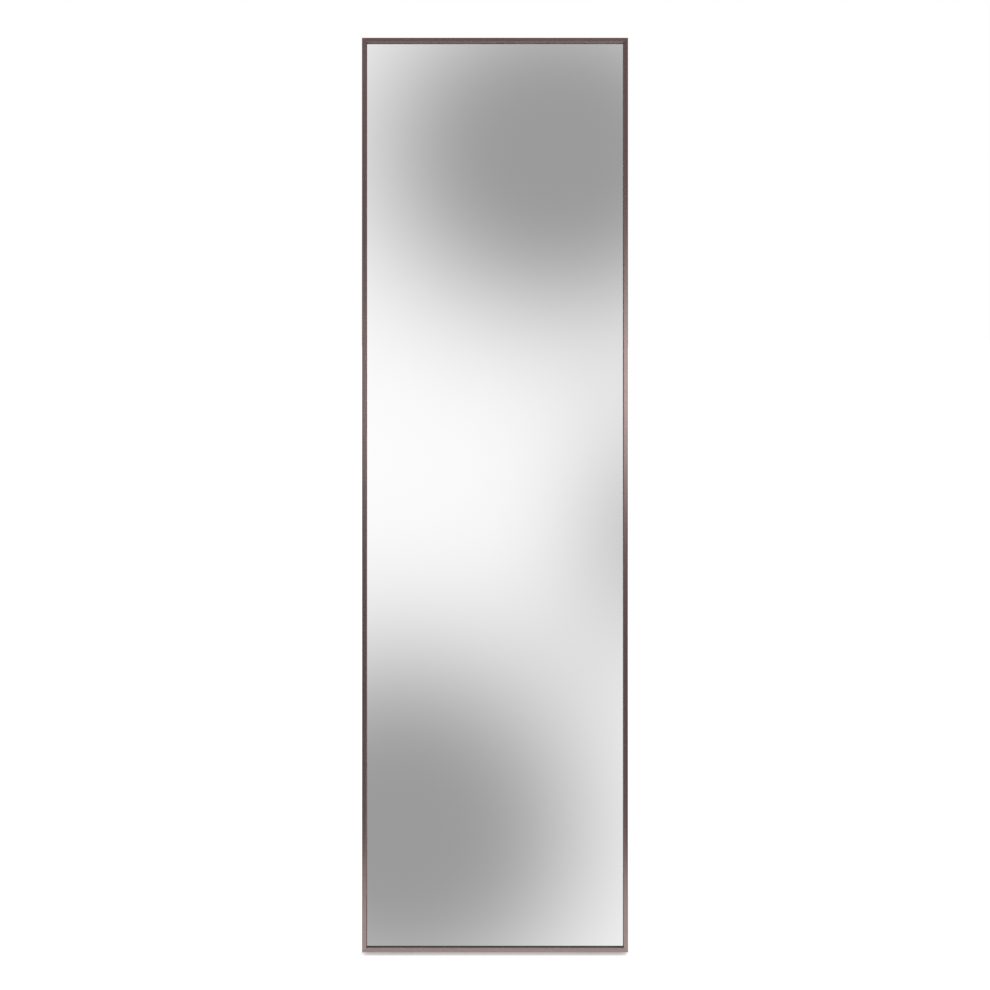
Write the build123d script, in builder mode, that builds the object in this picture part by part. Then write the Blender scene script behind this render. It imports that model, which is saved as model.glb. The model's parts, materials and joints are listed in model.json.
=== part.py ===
from build123d import *
from math import cos, radians, sin
import os

os.makedirs("parts", exist_ok=True)

# Floor mirror: four mitred aluminium rails hold a mirror glass. It leans back on rubber pads
# and on a folding stand of steel tube, hinged to its back. Millimetres, +Z up, glass to -Y.

# The mirror as a whole
mirror_width = 480.0
mirror_height = 1650.0
lean = 9.0  # degrees back from upright

# Rail section, measured from the front face back and from the outer side inwards
face_width = 8.0  # the part of a rail that shows from the front
glass_recess = 10.0  # from the front face to the glass
side_wall = 1.4
face_wall = 1.6
inner_wall = 1.4
seat_wall = 1.4  # web that the glass rests against
channel_width = 15.0  # rear channel, over its outer walls
channel_depth = 8.0
channel_wall = 1.2
hook_wall = 1.2
hook_reach = 2.8  # how far each hook reaches over the channel
edge_round = 0.6

# Sheets behind the front, in order
glass_thick = 4.0
glass_arris = 0.4
film_thick = 0.3
film_margin = 3.0
foam_thick = 1.0
board_thick = 3.0
sheet_play = 1.0  # between a sheet's edge and the rail around it

# Corner keys, shims and set screws, in the rear channel
key_arm = 36.0
key_thick = 2.0
key_round = 2.0
shim_thick = 1.0
key_play = 0.2  # between a plate's edge and the channel's side
set_screw_radius = 2.0
set_screw_proud = 0.6  # how far a set screw stands behind the hooks
set_screw_place = 25.0  # from the corner, along each rail
screw_play = 0.05

# Spring clips, bowed between the board and the channel
clip_room = 1.7  # from the board to the channel
clip_length = 46.0
clip_width = 11.0
clip_thick = 0.5
clip_play = 0.6  # between a clip's edge and the side wall
clips_per_side = 5
clips_per_end = 2

# Floor pads, pushed into the underside of the bottom rail
pad_length = 44.0
pad_depth = 8.5
pad_height = 2.5  # under the rail's rear edge
pad_inset = 70.0  # from the mirror's side to the middle of a pad
pad_round = 1.5
pad_stem_radius = 2.0
pad_stem_spacing = 24.0
pad_barb_radius = 2.6
pad_barb_height = 1.6

# The folding stand
pivot_up = 1010.0  # from the mirror's bottom edge, along its back
stand_opening = 17.0  # degrees between the back and the open stand
leg_inset = 30.0  # from the mirror's side to the middle of a leg
leg_radius = 8.0
leg_wall = 1.2
bar_radius = 6.0
bar_wall = 1.0
upper_bar_drop = 130.0  # from the pivot, down the leg
lower_bar_rise = 110.0  # from the floor, up the leg
stop_gap = 0.3  # between an open leg's heel and its bracket
fold_gap = 3.0  # between a folded leg and its bracket
plug_length = 4.0
plug_play = 0.05
tip_radius = 10.2
tip_flare = 12.2
tip_flare_height = 5.0
tip_height = 36.0
tip_sole = 6.0  # rubber between a tube's end and the floor
tip_play = 0.05
tip_bevel = 1.5

# Pivots
bolt_radius = 3.0
bolt_head_radius = 6.0
bolt_head_height = 2.6
bolt_head_bevel = 0.8
bolt_play = 0.05
bush_wall = 1.0
bush_proud = 0.5  # beyond the tube, at each side
side_play = 0.3  # between a bush and its washer
washer_thick = 1.0
washer_radius = 7.0
nut_across = 10.0
nut_height = 5.0
bolt_end = 1.5  # how far a bolt stands out of its nut

# Hinge brackets
base_thick = 2.5
base_height = 56.0
base_round = 4.0
base_margin = 2.0  # beyond the inner cheek
rail_margin = 1.0  # from a plate's edge to the mirror's outer side
cheek_thick = 3.0
cheek_round = 9.0
cheek_foot = 44.0  # a cheek's length where it meets the base

# Screws and nut plates that clamp brackets and hangers onto the channel
mount_screw_radius = 2.0
mount_head_radius = 3.8
mount_head_height = 2.4
mount_head_bevel = 0.9
mount_screw_end = 0.8  # below the nut plate
nut_plate_thick = 2.0
nut_plate_margin = 8.0  # from a screw to the plate's end
bracket_screw_spacing = 36.0

# Hanging plates
hanger_drop = 220.0  # from the mirror's top edge, along its back
hanger_thick = 1.5
hanger_height = 44.0
hanger_reach = 40.0  # from the mirror's side inwards
hanger_round = 3.0
hanger_screw_spacing = 26.0
keyhole_inset = 28.0
keyhole_radius = 5.0
keyhole_slot_radius = 2.5
keyhole_rise = 9.0

# Layers from the front face to the frame's back
film_depth = glass_recess + glass_thick
foam_depth = film_depth + film_thick
board_depth = foam_depth + foam_thick
board_rear = board_depth + board_thick
channel_front = board_rear + clip_room
channel_floor = channel_front + channel_wall
frame_depth = channel_front + channel_depth
hook_front = frame_depth - hook_wall

# Where the mirror and the stand are
toe_height = pad_height + frame_depth * sin(radians(lean))
pivot_out = base_thick + fold_gap + leg_radius
pivot_rear = pivot_up * sin(radians(lean)) + (frame_depth + pivot_out) * cos(radians(lean))
pivot_height = (
    toe_height + pivot_up * cos(radians(lean)) - (frame_depth + pivot_out) * sin(radians(lean))
)
leg_slope = radians(stand_opening - lean)
leg_reach = pivot_height / cos(leg_slope)  # from the pivot to the floor
tip_rear = pivot_rear + leg_reach * sin(leg_slope) + tip_flare / cos(leg_slope)
top_rear = mirror_height * sin(radians(lean)) + frame_depth * cos(radians(lean))
toe_rear = -max(tip_rear, top_rear) / 2

# Plane of the front face: x across, y up the mirror, z out towards the viewer
face = Plane(
    origin=(0, toe_rear, toe_height),
    x_dir=(1, 0, 0),
    z_dir=(0, -cos(radians(lean)), sin(radians(lean))),
)
across = face.x_dir
up = face.y_dir
out = face.z_dir

# Hinge line: x rearwards, y up the mirror, z across. The stand's plane turns with the leg.
hinge = Plane(
    origin=face.from_local_coords((0, pivot_up, -(frame_depth + pivot_out))),
    x_dir=-out,
    z_dir=across,
)
opening = radians(stand_opening)
stand = Plane(
    origin=hinge.origin,
    x_dir=hinge.x_dir * cos(opening) + hinge.y_dir * sin(opening),
    z_dir=across,
)

# Lines that several pieces share
channel_middle = (side_wall + channel_width - channel_wall) / 2
plate_width = channel_width - side_wall - channel_wall - 2 * key_play
leg_x = mirror_width / 2 - leg_inset
mount_x = mirror_width / 2 - channel_middle
hanger_up = mirror_height - hanger_drop
sides = [("left", -1), ("right", 1)]
corners = [
    ("top_left", -1, 1),
    ("top_right", 1, 1),
    ("bottom_left", -1, -1),
    ("bottom_right", 1, -1),
]
FRONT_OUTER = (Align.MIN, Align.MAX)


def from_corner(side, end, inwards, along):
    """Point on the front face, measured from one of the mirror's corners."""
    return (
        side * (mirror_width / 2 - inwards),
        mirror_height / 2 + end * (mirror_height / 2 - along),
    )


# Rails: one section, mitred at both ends
rails = [
    ("rail_bottom", (0, 0, 0), up, mirror_width),
    ("rail_top", (0, mirror_height, 0), -up, mirror_width),
    ("rail_left", (-mirror_width / 2, mirror_height / 2, 0), across, mirror_height),
    ("rail_right", (mirror_width / 2, mirror_height / 2, 0), -across, mirror_height),
]
pad_x = mirror_width / 2 - pad_inset
stem_depth = (channel_floor + hook_front) / 2
stem_places = [
    (side * pad_x + step * pad_stem_spacing / 2, 0) for _, side in sides for step in (-1, 1)
]
underside = Plane(
    origin=face.from_local_coords((0, 0, -stem_depth)), x_dir=across, z_dir=-up
)

for rail_name, middle, inwards, length in rails:
    run = Plane(
        origin=face.from_local_coords(middle), x_dir=inwards, z_dir=inwards.cross(out)
    )
    with BuildPart() as rail:
        with BuildSketch(run) as section:
            # outer wall, front box and rear channel
            Rectangle(side_wall, frame_depth, align=FRONT_OUTER)
            Rectangle(face_width, glass_recess, align=FRONT_OUTER)
            with Locations((0, -channel_front)):
                Rectangle(channel_width, channel_depth, align=FRONT_OUTER)
            # hollow of the front box
            with Locations((side_wall, -face_wall)):
                Rectangle(
                    face_width - side_wall - inner_wall,
                    glass_recess - face_wall - seat_wall,
                    align=FRONT_OUTER,
                    mode=Mode.SUBTRACT,
                )
            # hollow of the channel, and its mouth between the hooks
            with Locations((side_wall, -channel_floor)):
                Rectangle(
                    channel_width - side_wall - channel_wall,
                    hook_front - channel_floor,
                    align=FRONT_OUTER,
                    mode=Mode.SUBTRACT,
                )
            with Locations((side_wall + hook_reach, -hook_front)):
                Rectangle(
                    channel_width - side_wall - channel_wall - 2 * hook_reach,
                    hook_wall,
                    align=FRONT_OUTER,
                    mode=Mode.SUBTRACT,
                )
            fillet(section.vertices().group_by(Axis.Y)[-1], radius=edge_round)
        extrude(amount=length / 2, both=True)
        for end in (-1, 1):
            mitre = Plane(
                origin=run.from_local_coords((0, 0, end * length / 2)),
                z_dir=run.x_dir + run.z_dir * end,
            )
            split(bisect_by=mitre, keep=Keep.BOTTOM)
        if rail_name == "rail_bottom":
            with BuildSketch(underside):
                with Locations(*stem_places):
                    Circle(pad_stem_radius)
            extrude(amount=-side_wall, mode=Mode.SUBTRACT)
    rail.part.label = rail_name
    export_step(rail.part, f"parts/{rail_name}.step")

# Glass, with a ground edge
sheet_width = mirror_width - 2 * (side_wall + sheet_play)
sheet_height = mirror_height - 2 * (side_wall + sheet_play)
with BuildPart() as mirror_glass:
    with BuildSketch(face.offset(-glass_recess)):
        with Locations((0, mirror_height / 2)):
            Rectangle(sheet_width, sheet_height)
    extrude(amount=-glass_thick)
    chamfer(mirror_glass.edges(), length=glass_arris)
mirror_glass.part.label = "mirror_glass"
export_step(mirror_glass.part, "parts/mirror_glass.step")

# Film, foam and board lie against the glass, one behind the other
sheets = [
    ("safety_film", film_depth, film_thick, film_margin),
    ("foam_sheet", foam_depth, foam_thick, 0),
    ("backing_board", board_depth, board_thick, 0),
]
for sheet_name, depth, thick, margin in sheets:
    with BuildPart() as sheet:
        with BuildSketch(face.offset(-depth)):
            with Locations((0, mirror_height / 2)):
                Rectangle(sheet_width - 2 * margin, sheet_height - 2 * margin)
        extrude(amount=-thick)
    sheet.part.label = sheet_name
    export_step(sheet.part, f"parts/{sheet_name}.step")

# Corner keys lie under the hooks, and corner shims on the channel's floor
key_near = side_wall + key_play
key_far = key_near + plate_width
key_end = key_near + key_arm
plates = [
    ("corner_key", hook_front - key_thick, key_thick, True),
    ("corner_shim", channel_floor, shim_thick, False),
]
for corner_name, side, end in corners:
    arm_screws = [
        from_corner(side, end, channel_middle, set_screw_place),
        from_corner(side, end, set_screw_place, channel_middle),
    ]
    outline = [
        from_corner(side, end, key_near, key_near),
        from_corner(side, end, key_end, key_near),
        from_corner(side, end, key_end, key_far),
        from_corner(side, end, key_far, key_far),
        from_corner(side, end, key_far, key_end),
        from_corner(side, end, key_near, key_end),
    ]
    for plate_name, depth, thick, threaded in plates:
        with BuildPart() as plate:
            with BuildSketch(face.offset(-depth)) as angle:
                Polygon(*outline, align=None)
                fillet(angle.vertices().sort_by_distance(outline[0])[0], radius=key_round)
                if threaded:
                    with Locations(*arm_screws):
                        Circle(set_screw_radius + screw_play, mode=Mode.SUBTRACT)
            extrude(amount=-thick)
        plate.part.label = f"{plate_name}_{corner_name}"
        export_step(plate.part, f"parts/{plate_name}_{corner_name}.step")

# Set screws press each key against the hooks
with BuildPart() as corner_set_screws:
    shim_rear = channel_floor + shim_thick
    screw_rear = frame_depth + set_screw_proud
    with BuildSketch(face.offset(-shim_rear)):
        for _, side, end in corners:
            with Locations(
                from_corner(side, end, channel_middle, set_screw_place),
                from_corner(side, end, set_screw_place, channel_middle),
            ):
                Circle(set_screw_radius)
    extrude(amount=-(screw_rear - shim_rear))
corner_set_screws.part.label = "corner_set_screws"
export_step(corner_set_screws.part, "parts/corner_set_screws.step")

# Spring clips, bowed forwards onto the board
with BuildPart() as spring_clips:
    for _, middle, inwards, length in rails:
        count = clips_per_side if length == mirror_height else clips_per_end
        for number in range(count):
            place = length * ((number + 0.5) / count - 0.5)
            along = inwards.cross(out)
            bow = Plane(
                origin=face.from_local_coords(middle)
                + along * place
                + inwards * (side_wall + clip_play),
                x_dir=along,
                z_dir=inwards,
            )
            half = clip_length / 2
            with BuildSketch(bow):
                with BuildLine():
                    ThreePointArc(
                        (-half, channel_front - clip_thick),
                        (0, board_rear),
                        (half, channel_front - clip_thick),
                    )
                    Line((half, channel_front - clip_thick), (half, channel_front))
                    ThreePointArc(
                        (half, channel_front),
                        (0, board_rear + clip_thick),
                        (-half, channel_front),
                    )
                    Line((-half, channel_front), (-half, channel_front - clip_thick))
                make_face()
            extrude(amount=clip_width)
spring_clips.part.label = "spring_clips"
export_step(spring_clips.part, "parts/spring_clips.step")

# Floor pads: flat on the floor, snug under the rail's rear edge, held by two barbed stems
pad_front = face.from_local_coords((0, 0, -(frame_depth - pad_depth)))
pad_back = face.from_local_coords((0, 0, -frame_depth))
for side_name, side in sides:
    with BuildPart() as pad:
        with BuildSketch(Plane.YZ.offset(side * pad_x)):
            Polygon(
                (pad_front.Y, pad_front.Z),
                (pad_back.Y, pad_back.Z),
                (pad_back.Y, 0),
                (pad_front.Y, 0),
                align=None,
            )
        extrude(amount=pad_length / 2, both=True)
        fillet(pad.edges().filter_by(Axis.Z), radius=pad_round)
        with BuildSketch(underside):
            with Locations((side * pad_x, 0)):
                with GridLocations(pad_stem_spacing, 0, 2, 1):
                    Circle(pad_stem_radius)
        extrude(amount=-(side_wall + pad_barb_height))
        with BuildSketch(underside.offset(-side_wall)):
            with Locations((side * pad_x, 0)):
                with GridLocations(pad_stem_spacing, 0, 2, 1):
                    Circle(pad_barb_radius)
        extrude(amount=-pad_barb_height)
    pad.part.label = f"floor_pad_{side_name}"
    export_step(pad.part, f"parts/floor_pad_{side_name}.step")

# Hinge brackets: a base on the rail's back and two cheeks around the leg
washer_inner = leg_radius + bush_proud + side_play
cheek_inner = washer_inner + washer_thick
cheek_outer = cheek_inner + cheek_thick
bracket_low = leg_inset + cheek_outer + base_margin
bracket_span = bracket_low - rail_margin
for side_name, side in sides:
    with BuildPart() as bracket:
        with BuildSketch(face.offset(-frame_depth)):
            with Locations((side * (mirror_width / 2 - rail_margin - bracket_span / 2), pivot_up)):
                RectangleRounded(bracket_span, base_height, base_round)
            with Locations((side * mount_x, pivot_up)):
                with GridLocations(0, bracket_screw_spacing, 1, 2):
                    Circle(mount_screw_radius + screw_play, mode=Mode.SUBTRACT)
        extrude(amount=-base_thick)
        for cheek in (-cheek_outer, cheek_inner):
            with BuildSketch(hinge.offset(side * leg_x + cheek)):
                with BuildLine():
                    CenterArc((0, 0), cheek_round, 0, 360)
                    Line(
                        (-pivot_out + base_thick, -cheek_foot / 2),
                        (-pivot_out + base_thick, cheek_foot / 2),
                    )
                make_hull()
                Circle(bolt_radius + bolt_play, mode=Mode.SUBTRACT)
            extrude(amount=cheek_thick)
    bracket.part.label = f"bracket_{side_name}"
    export_step(bracket.part, f"parts/bracket_{side_name}.step")

    # washers between the leg's bush and the cheeks
    with BuildPart() as washers:
        for inner in (-cheek_inner, washer_inner):
            with BuildSketch(hinge.offset(side * leg_x + inner)):
                Circle(washer_radius)
                Circle(bolt_radius + bolt_play, mode=Mode.SUBTRACT)
            extrude(amount=washer_thick)
    washers.part.label = f"pivot_washers_{side_name}"
    export_step(washers.part, f"parts/pivot_washers_{side_name}.step")

    # pivot bolt, with its head towards the mirror's side and a lock nut inside
    outward = Plane(
        origin=hinge.from_local_coords((0, 0, side * (leg_x + cheek_outer))),
        x_dir=hinge.y_dir,
        z_dir=across * side,
    )
    with BuildPart() as pivot_bolt:
        with BuildSketch(outward):
            Circle(bolt_head_radius)
        extrude(amount=bolt_head_height)
        head_rim = pivot_bolt.edges().sort_by(Axis(outward.origin, outward.z_dir))[-1]
        chamfer(head_rim, length=bolt_head_bevel)
        with BuildSketch(outward):
            Circle(bolt_radius)
        extrude(amount=-(2 * cheek_outer + nut_height + bolt_end))
    pivot_bolt.part.label = f"pivot_bolt_{side_name}"
    export_step(pivot_bolt.part, f"parts/pivot_bolt_{side_name}.step")

    with BuildPart() as lock_nut:
        with BuildSketch(outward.offset(-2 * cheek_outer)):
            RegularPolygon(nut_across / 2, 6, major_radius=False)
            Circle(bolt_radius + screw_play, mode=Mode.SUBTRACT)
        extrude(amount=-nut_height)
    lock_nut.part.label = f"lock_nut_{side_name}"
    export_step(lock_nut.part, f"parts/lock_nut_{side_name}.step")

# Hanging plates: the keyhole stands free beside the rail
for side_name, side in sides:
    with BuildPart() as hanger:
        with BuildSketch(face.offset(-frame_depth)):
            plate_middle = mirror_width / 2 - (rail_margin + hanger_reach) / 2
            with Locations((side * plate_middle, hanger_up)):
                RectangleRounded(hanger_reach - rail_margin, hanger_height, hanger_round)
            with Locations((side * mount_x, hanger_up)):
                with GridLocations(0, hanger_screw_spacing, 1, 2):
                    Circle(mount_screw_radius + screw_play, mode=Mode.SUBTRACT)
            keyhole_x = side * (mirror_width / 2 - keyhole_inset)
            with Locations((keyhole_x, hanger_up - keyhole_rise / 2)):
                Circle(keyhole_radius, mode=Mode.SUBTRACT)
            with Locations((keyhole_x, hanger_up)):
                SlotCenterToCenter(
                    keyhole_rise, 2 * keyhole_slot_radius, rotation=90, mode=Mode.SUBTRACT
                )
        extrude(amount=-hanger_thick)
    hanger.part.label = f"hanger_{side_name}"
    export_step(hanger.part, f"parts/hanger_{side_name}.step")

# Nut plates in the channel, and the screws that clamp a plate onto the hooks
clamped = [
    ("bracket", pivot_up, bracket_screw_spacing, base_thick),
    ("hanger", hanger_up, hanger_screw_spacing, hanger_thick),
]
for clamped_name, height, spacing, thick in clamped:
    for side_name, side in sides:
        with BuildPart() as nut_plate:
            with BuildSketch(face.offset(-(hook_front - nut_plate_thick))):
                with Locations((side * mount_x, height)):
                    Rectangle(plate_width, spacing + 2 * nut_plate_margin)
                    with GridLocations(0, spacing, 1, 2):
                        Circle(mount_screw_radius + screw_play, mode=Mode.SUBTRACT)
            extrude(amount=-nut_plate_thick)
        nut_plate.part.label = f"{clamped_name}_nut_plate_{side_name}"
        export_step(nut_plate.part, f"parts/{clamped_name}_nut_plate_{side_name}.step")

    seat = face.offset(-(frame_depth + thick))
    screw_length = thick + hook_wall + nut_plate_thick + mount_screw_end
    spots = [
        (side * mount_x, height + step * spacing / 2) for _, side in sides for step in (-1, 1)
    ]
    with BuildPart() as screws:
        with BuildSketch(seat):
            with Locations(*spots):
                Circle(mount_head_radius)
        extrude(amount=-mount_head_height)
        head_rims = screws.faces().sort_by(Axis(seat.origin, out))[0:4].edges()
        chamfer(head_rims, length=mount_head_bevel)
        with BuildSketch(seat):
            with Locations(*spots):
                Circle(mount_screw_radius)
        extrude(amount=screw_length)
    screws.part.label = f"{clamped_name}_screws"
    export_step(screws.part, f"parts/{clamped_name}_screws.step")

# Stand: the open leg's heel stops against its bracket's base
heel = (fold_gap + leg_radius * (1 - cos(opening)) - stop_gap) / sin(opening)
bush_radius = bolt_radius + bolt_play + bush_wall
leg_end = tip_sole - leg_reach  # along the leg, from the pivot


def leg_plane(side, along):
    """Plane across a leg, at a distance along it from the pivot."""
    return Plane(
        origin=stand.from_local_coords((0, along, side * leg_x)),
        x_dir=stand.z_dir,
        z_dir=stand.y_dir,
    )


for side_name, side in sides:
    with BuildPart() as leg_tube:
        with BuildSketch(leg_plane(side, leg_end)):
            Circle(leg_radius)
            Circle(leg_radius - leg_wall, mode=Mode.SUBTRACT)
        extrude(amount=heel - leg_end)
        with BuildSketch(stand.offset(side * leg_x)):
            Circle(bush_radius)
        extrude(amount=leg_radius, both=True, mode=Mode.SUBTRACT)
    leg_tube.part.label = f"leg_tube_{side_name}"
    export_step(leg_tube.part, f"parts/leg_tube_{side_name}.step")

    with BuildPart() as bush:
        with BuildSketch(stand.offset(side * leg_x)):
            Circle(bush_radius)
            Circle(bolt_radius + bolt_play, mode=Mode.SUBTRACT)
        extrude(amount=leg_radius + bush_proud, both=True)
    bush.part.label = f"pivot_bush_{side_name}"
    export_step(bush.part, f"parts/pivot_bush_{side_name}.step")

    with BuildPart() as plug:
        with BuildSketch(leg_plane(side, heel)):
            Circle(leg_radius - leg_wall - plug_play)
        extrude(amount=-plug_length)
    plug.part.label = f"leg_plug_{side_name}"
    export_step(plug.part, f"parts/leg_plug_{side_name}.step")

    # rubber tip, flared at the floor and cut level with it
    with BuildPart() as tip:
        with BuildSketch(stand.offset(side * leg_x)):
            with BuildLine():
                Polyline(
                    (0, -leg_reach - tip_flare),
                    (tip_flare, -leg_reach - tip_flare),
                    (tip_flare, -leg_reach + tip_flare_height),
                    (tip_radius, -leg_reach + 2 * tip_flare_height),
                    (tip_radius, -leg_reach + tip_height),
                    (0, -leg_reach + tip_height),
                    close=True,
                )
            make_face()
        leg_axis = Axis(leg_plane(side, 0).origin, stand.y_dir)
        revolve(axis=leg_axis)
        chamfer(tip.edges().group_by(leg_axis)[-1], length=tip_bevel)
        with BuildSketch(leg_plane(side, leg_end)):
            Circle(leg_radius + tip_play)
        extrude(amount=tip_height, mode=Mode.SUBTRACT)
        split(bisect_by=Plane.XY, keep=Keep.TOP)
    tip.part.label = f"leg_tip_{side_name}"
    export_step(tip.part, f"parts/leg_tip_{side_name}.step")

# Cross bars, coped to the leg tubes
bars = [("cross_bar_upper", -upper_bar_drop), ("cross_bar_lower", lower_bar_rise - leg_reach)]
for bar_name, along in bars:
    with BuildPart() as bar:
        with BuildSketch(stand):
            with Locations((0, along)):
                Circle(bar_radius)
                Circle(bar_radius - bar_wall, mode=Mode.SUBTRACT)
        extrude(amount=leg_x, both=True)
        for _, side in sides:
            with BuildSketch(leg_plane(side, along)):
                Circle(leg_radius)
            extrude(amount=2 * leg_radius, both=True, mode=Mode.SUBTRACT)
    bar.part.label = bar_name
    export_step(bar.part, f"parts/{bar_name}.step")
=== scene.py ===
"""Floor mirror on a folding stand: its fine pieces and finishes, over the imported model."""

import json
import logging
import math
from dataclasses import dataclass, field
from enum import Enum
from typing import Callable

import bpy
from mathutils import Matrix, Vector

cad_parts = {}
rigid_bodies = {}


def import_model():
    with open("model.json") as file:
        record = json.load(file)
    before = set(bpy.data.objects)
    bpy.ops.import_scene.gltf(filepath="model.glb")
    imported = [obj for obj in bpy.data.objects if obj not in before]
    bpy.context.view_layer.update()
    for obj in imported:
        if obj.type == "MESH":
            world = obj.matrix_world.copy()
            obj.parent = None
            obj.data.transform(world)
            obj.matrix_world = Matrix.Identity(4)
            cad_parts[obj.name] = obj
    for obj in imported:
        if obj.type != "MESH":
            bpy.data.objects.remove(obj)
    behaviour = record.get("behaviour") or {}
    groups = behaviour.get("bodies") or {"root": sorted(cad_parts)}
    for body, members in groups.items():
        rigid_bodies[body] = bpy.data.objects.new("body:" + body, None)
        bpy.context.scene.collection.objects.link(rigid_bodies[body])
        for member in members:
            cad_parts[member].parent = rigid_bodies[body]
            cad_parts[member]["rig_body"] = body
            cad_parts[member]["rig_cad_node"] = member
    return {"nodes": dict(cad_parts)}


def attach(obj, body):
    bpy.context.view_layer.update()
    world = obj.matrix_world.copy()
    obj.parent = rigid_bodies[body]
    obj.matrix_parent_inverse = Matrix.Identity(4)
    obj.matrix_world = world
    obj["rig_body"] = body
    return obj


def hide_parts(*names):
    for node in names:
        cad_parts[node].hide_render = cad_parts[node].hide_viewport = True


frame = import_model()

log = logging.getLogger("floor_mirror")

Colour = tuple[float, float, float]
# Places that differ by less than this, in metres, count as the same.
CLOSE = 1e-6
# Width of the rounding along the edges of small plates, bushes, washers and bars.
FINE_EDGE = 0.00015


class Grain(Enum):
    """Which way a rail is brushed."""

    LEVEL = "level"
    UPRIGHT = "upright"


class Pick(Enum):
    """What a selection in edit mode is made of, as the three select-mode switches."""

    POINTS = (True, False, False)
    EDGES = (False, True, False)
    FACES = (False, False, True)


class Side(Enum):
    """A side of the mirror, as the sign of its place across it."""

    LEFT = -1
    RIGHT = 1

    @property
    def word(self) -> str:
        """The side's name in the names of pieces."""
        return self.name.lower()


@dataclass(frozen=True)
class MirrorAxes:
    """Axes of the leaning mirror: across it, up its face, and depth behind its face."""

    toe: Vector = Vector((0.0, -0.175780, 0.006880))
    lean: float = math.radians(9.0)
    width: float = 0.480
    height: float = 1.650
    thickness: float = 0.028

    @property
    def up(self) -> Vector:
        """Direction up the face."""
        return Vector((0.0, math.sin(self.lean), math.cos(self.lean)))

    @property
    def out(self) -> Vector:
        """Direction out of the face, towards a viewer."""
        return Vector((0.0, -math.cos(self.lean), math.sin(self.lean)))

    def point(self, across: float, up: float, depth: float) -> Vector:
        """Point of the mirror in the shared frame.

        Args:
            across: distance to the right of the middle.
            up: distance up the face from its bottom edge.
            depth: distance behind the face.

        Returns:
            The point, in metres.
        """
        return self.toe + Vector((across, 0.0, 0.0)) + self.up * up - self.out * depth


@dataclass(frozen=True)
class StandAxes:
    """Axes of the open stand: its pivot line and the slope of its legs."""

    pivot: Vector = Vector((0.0, 0.023207, 0.997953))
    slope: float = math.radians(8.0)
    leg_across: float = 0.210

    @property
    def up(self) -> Vector:
        """Direction up a leg."""
        return Vector((0.0, -math.sin(self.slope), math.cos(self.slope)))

    @property
    def reach(self) -> float:
        """Length of a leg's middle line from the pivot to the floor."""
        return self.pivot.z / math.cos(self.slope)

    def point(self, across: float, along: float) -> Vector:
        """Point on a leg's plane: across the stand, and up the leg from the pivot."""
        return self.pivot + Vector((across, 0.0, 0.0)) + self.up * along


MIRROR = MirrorAxes()
STAND = StandAxes()


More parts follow.
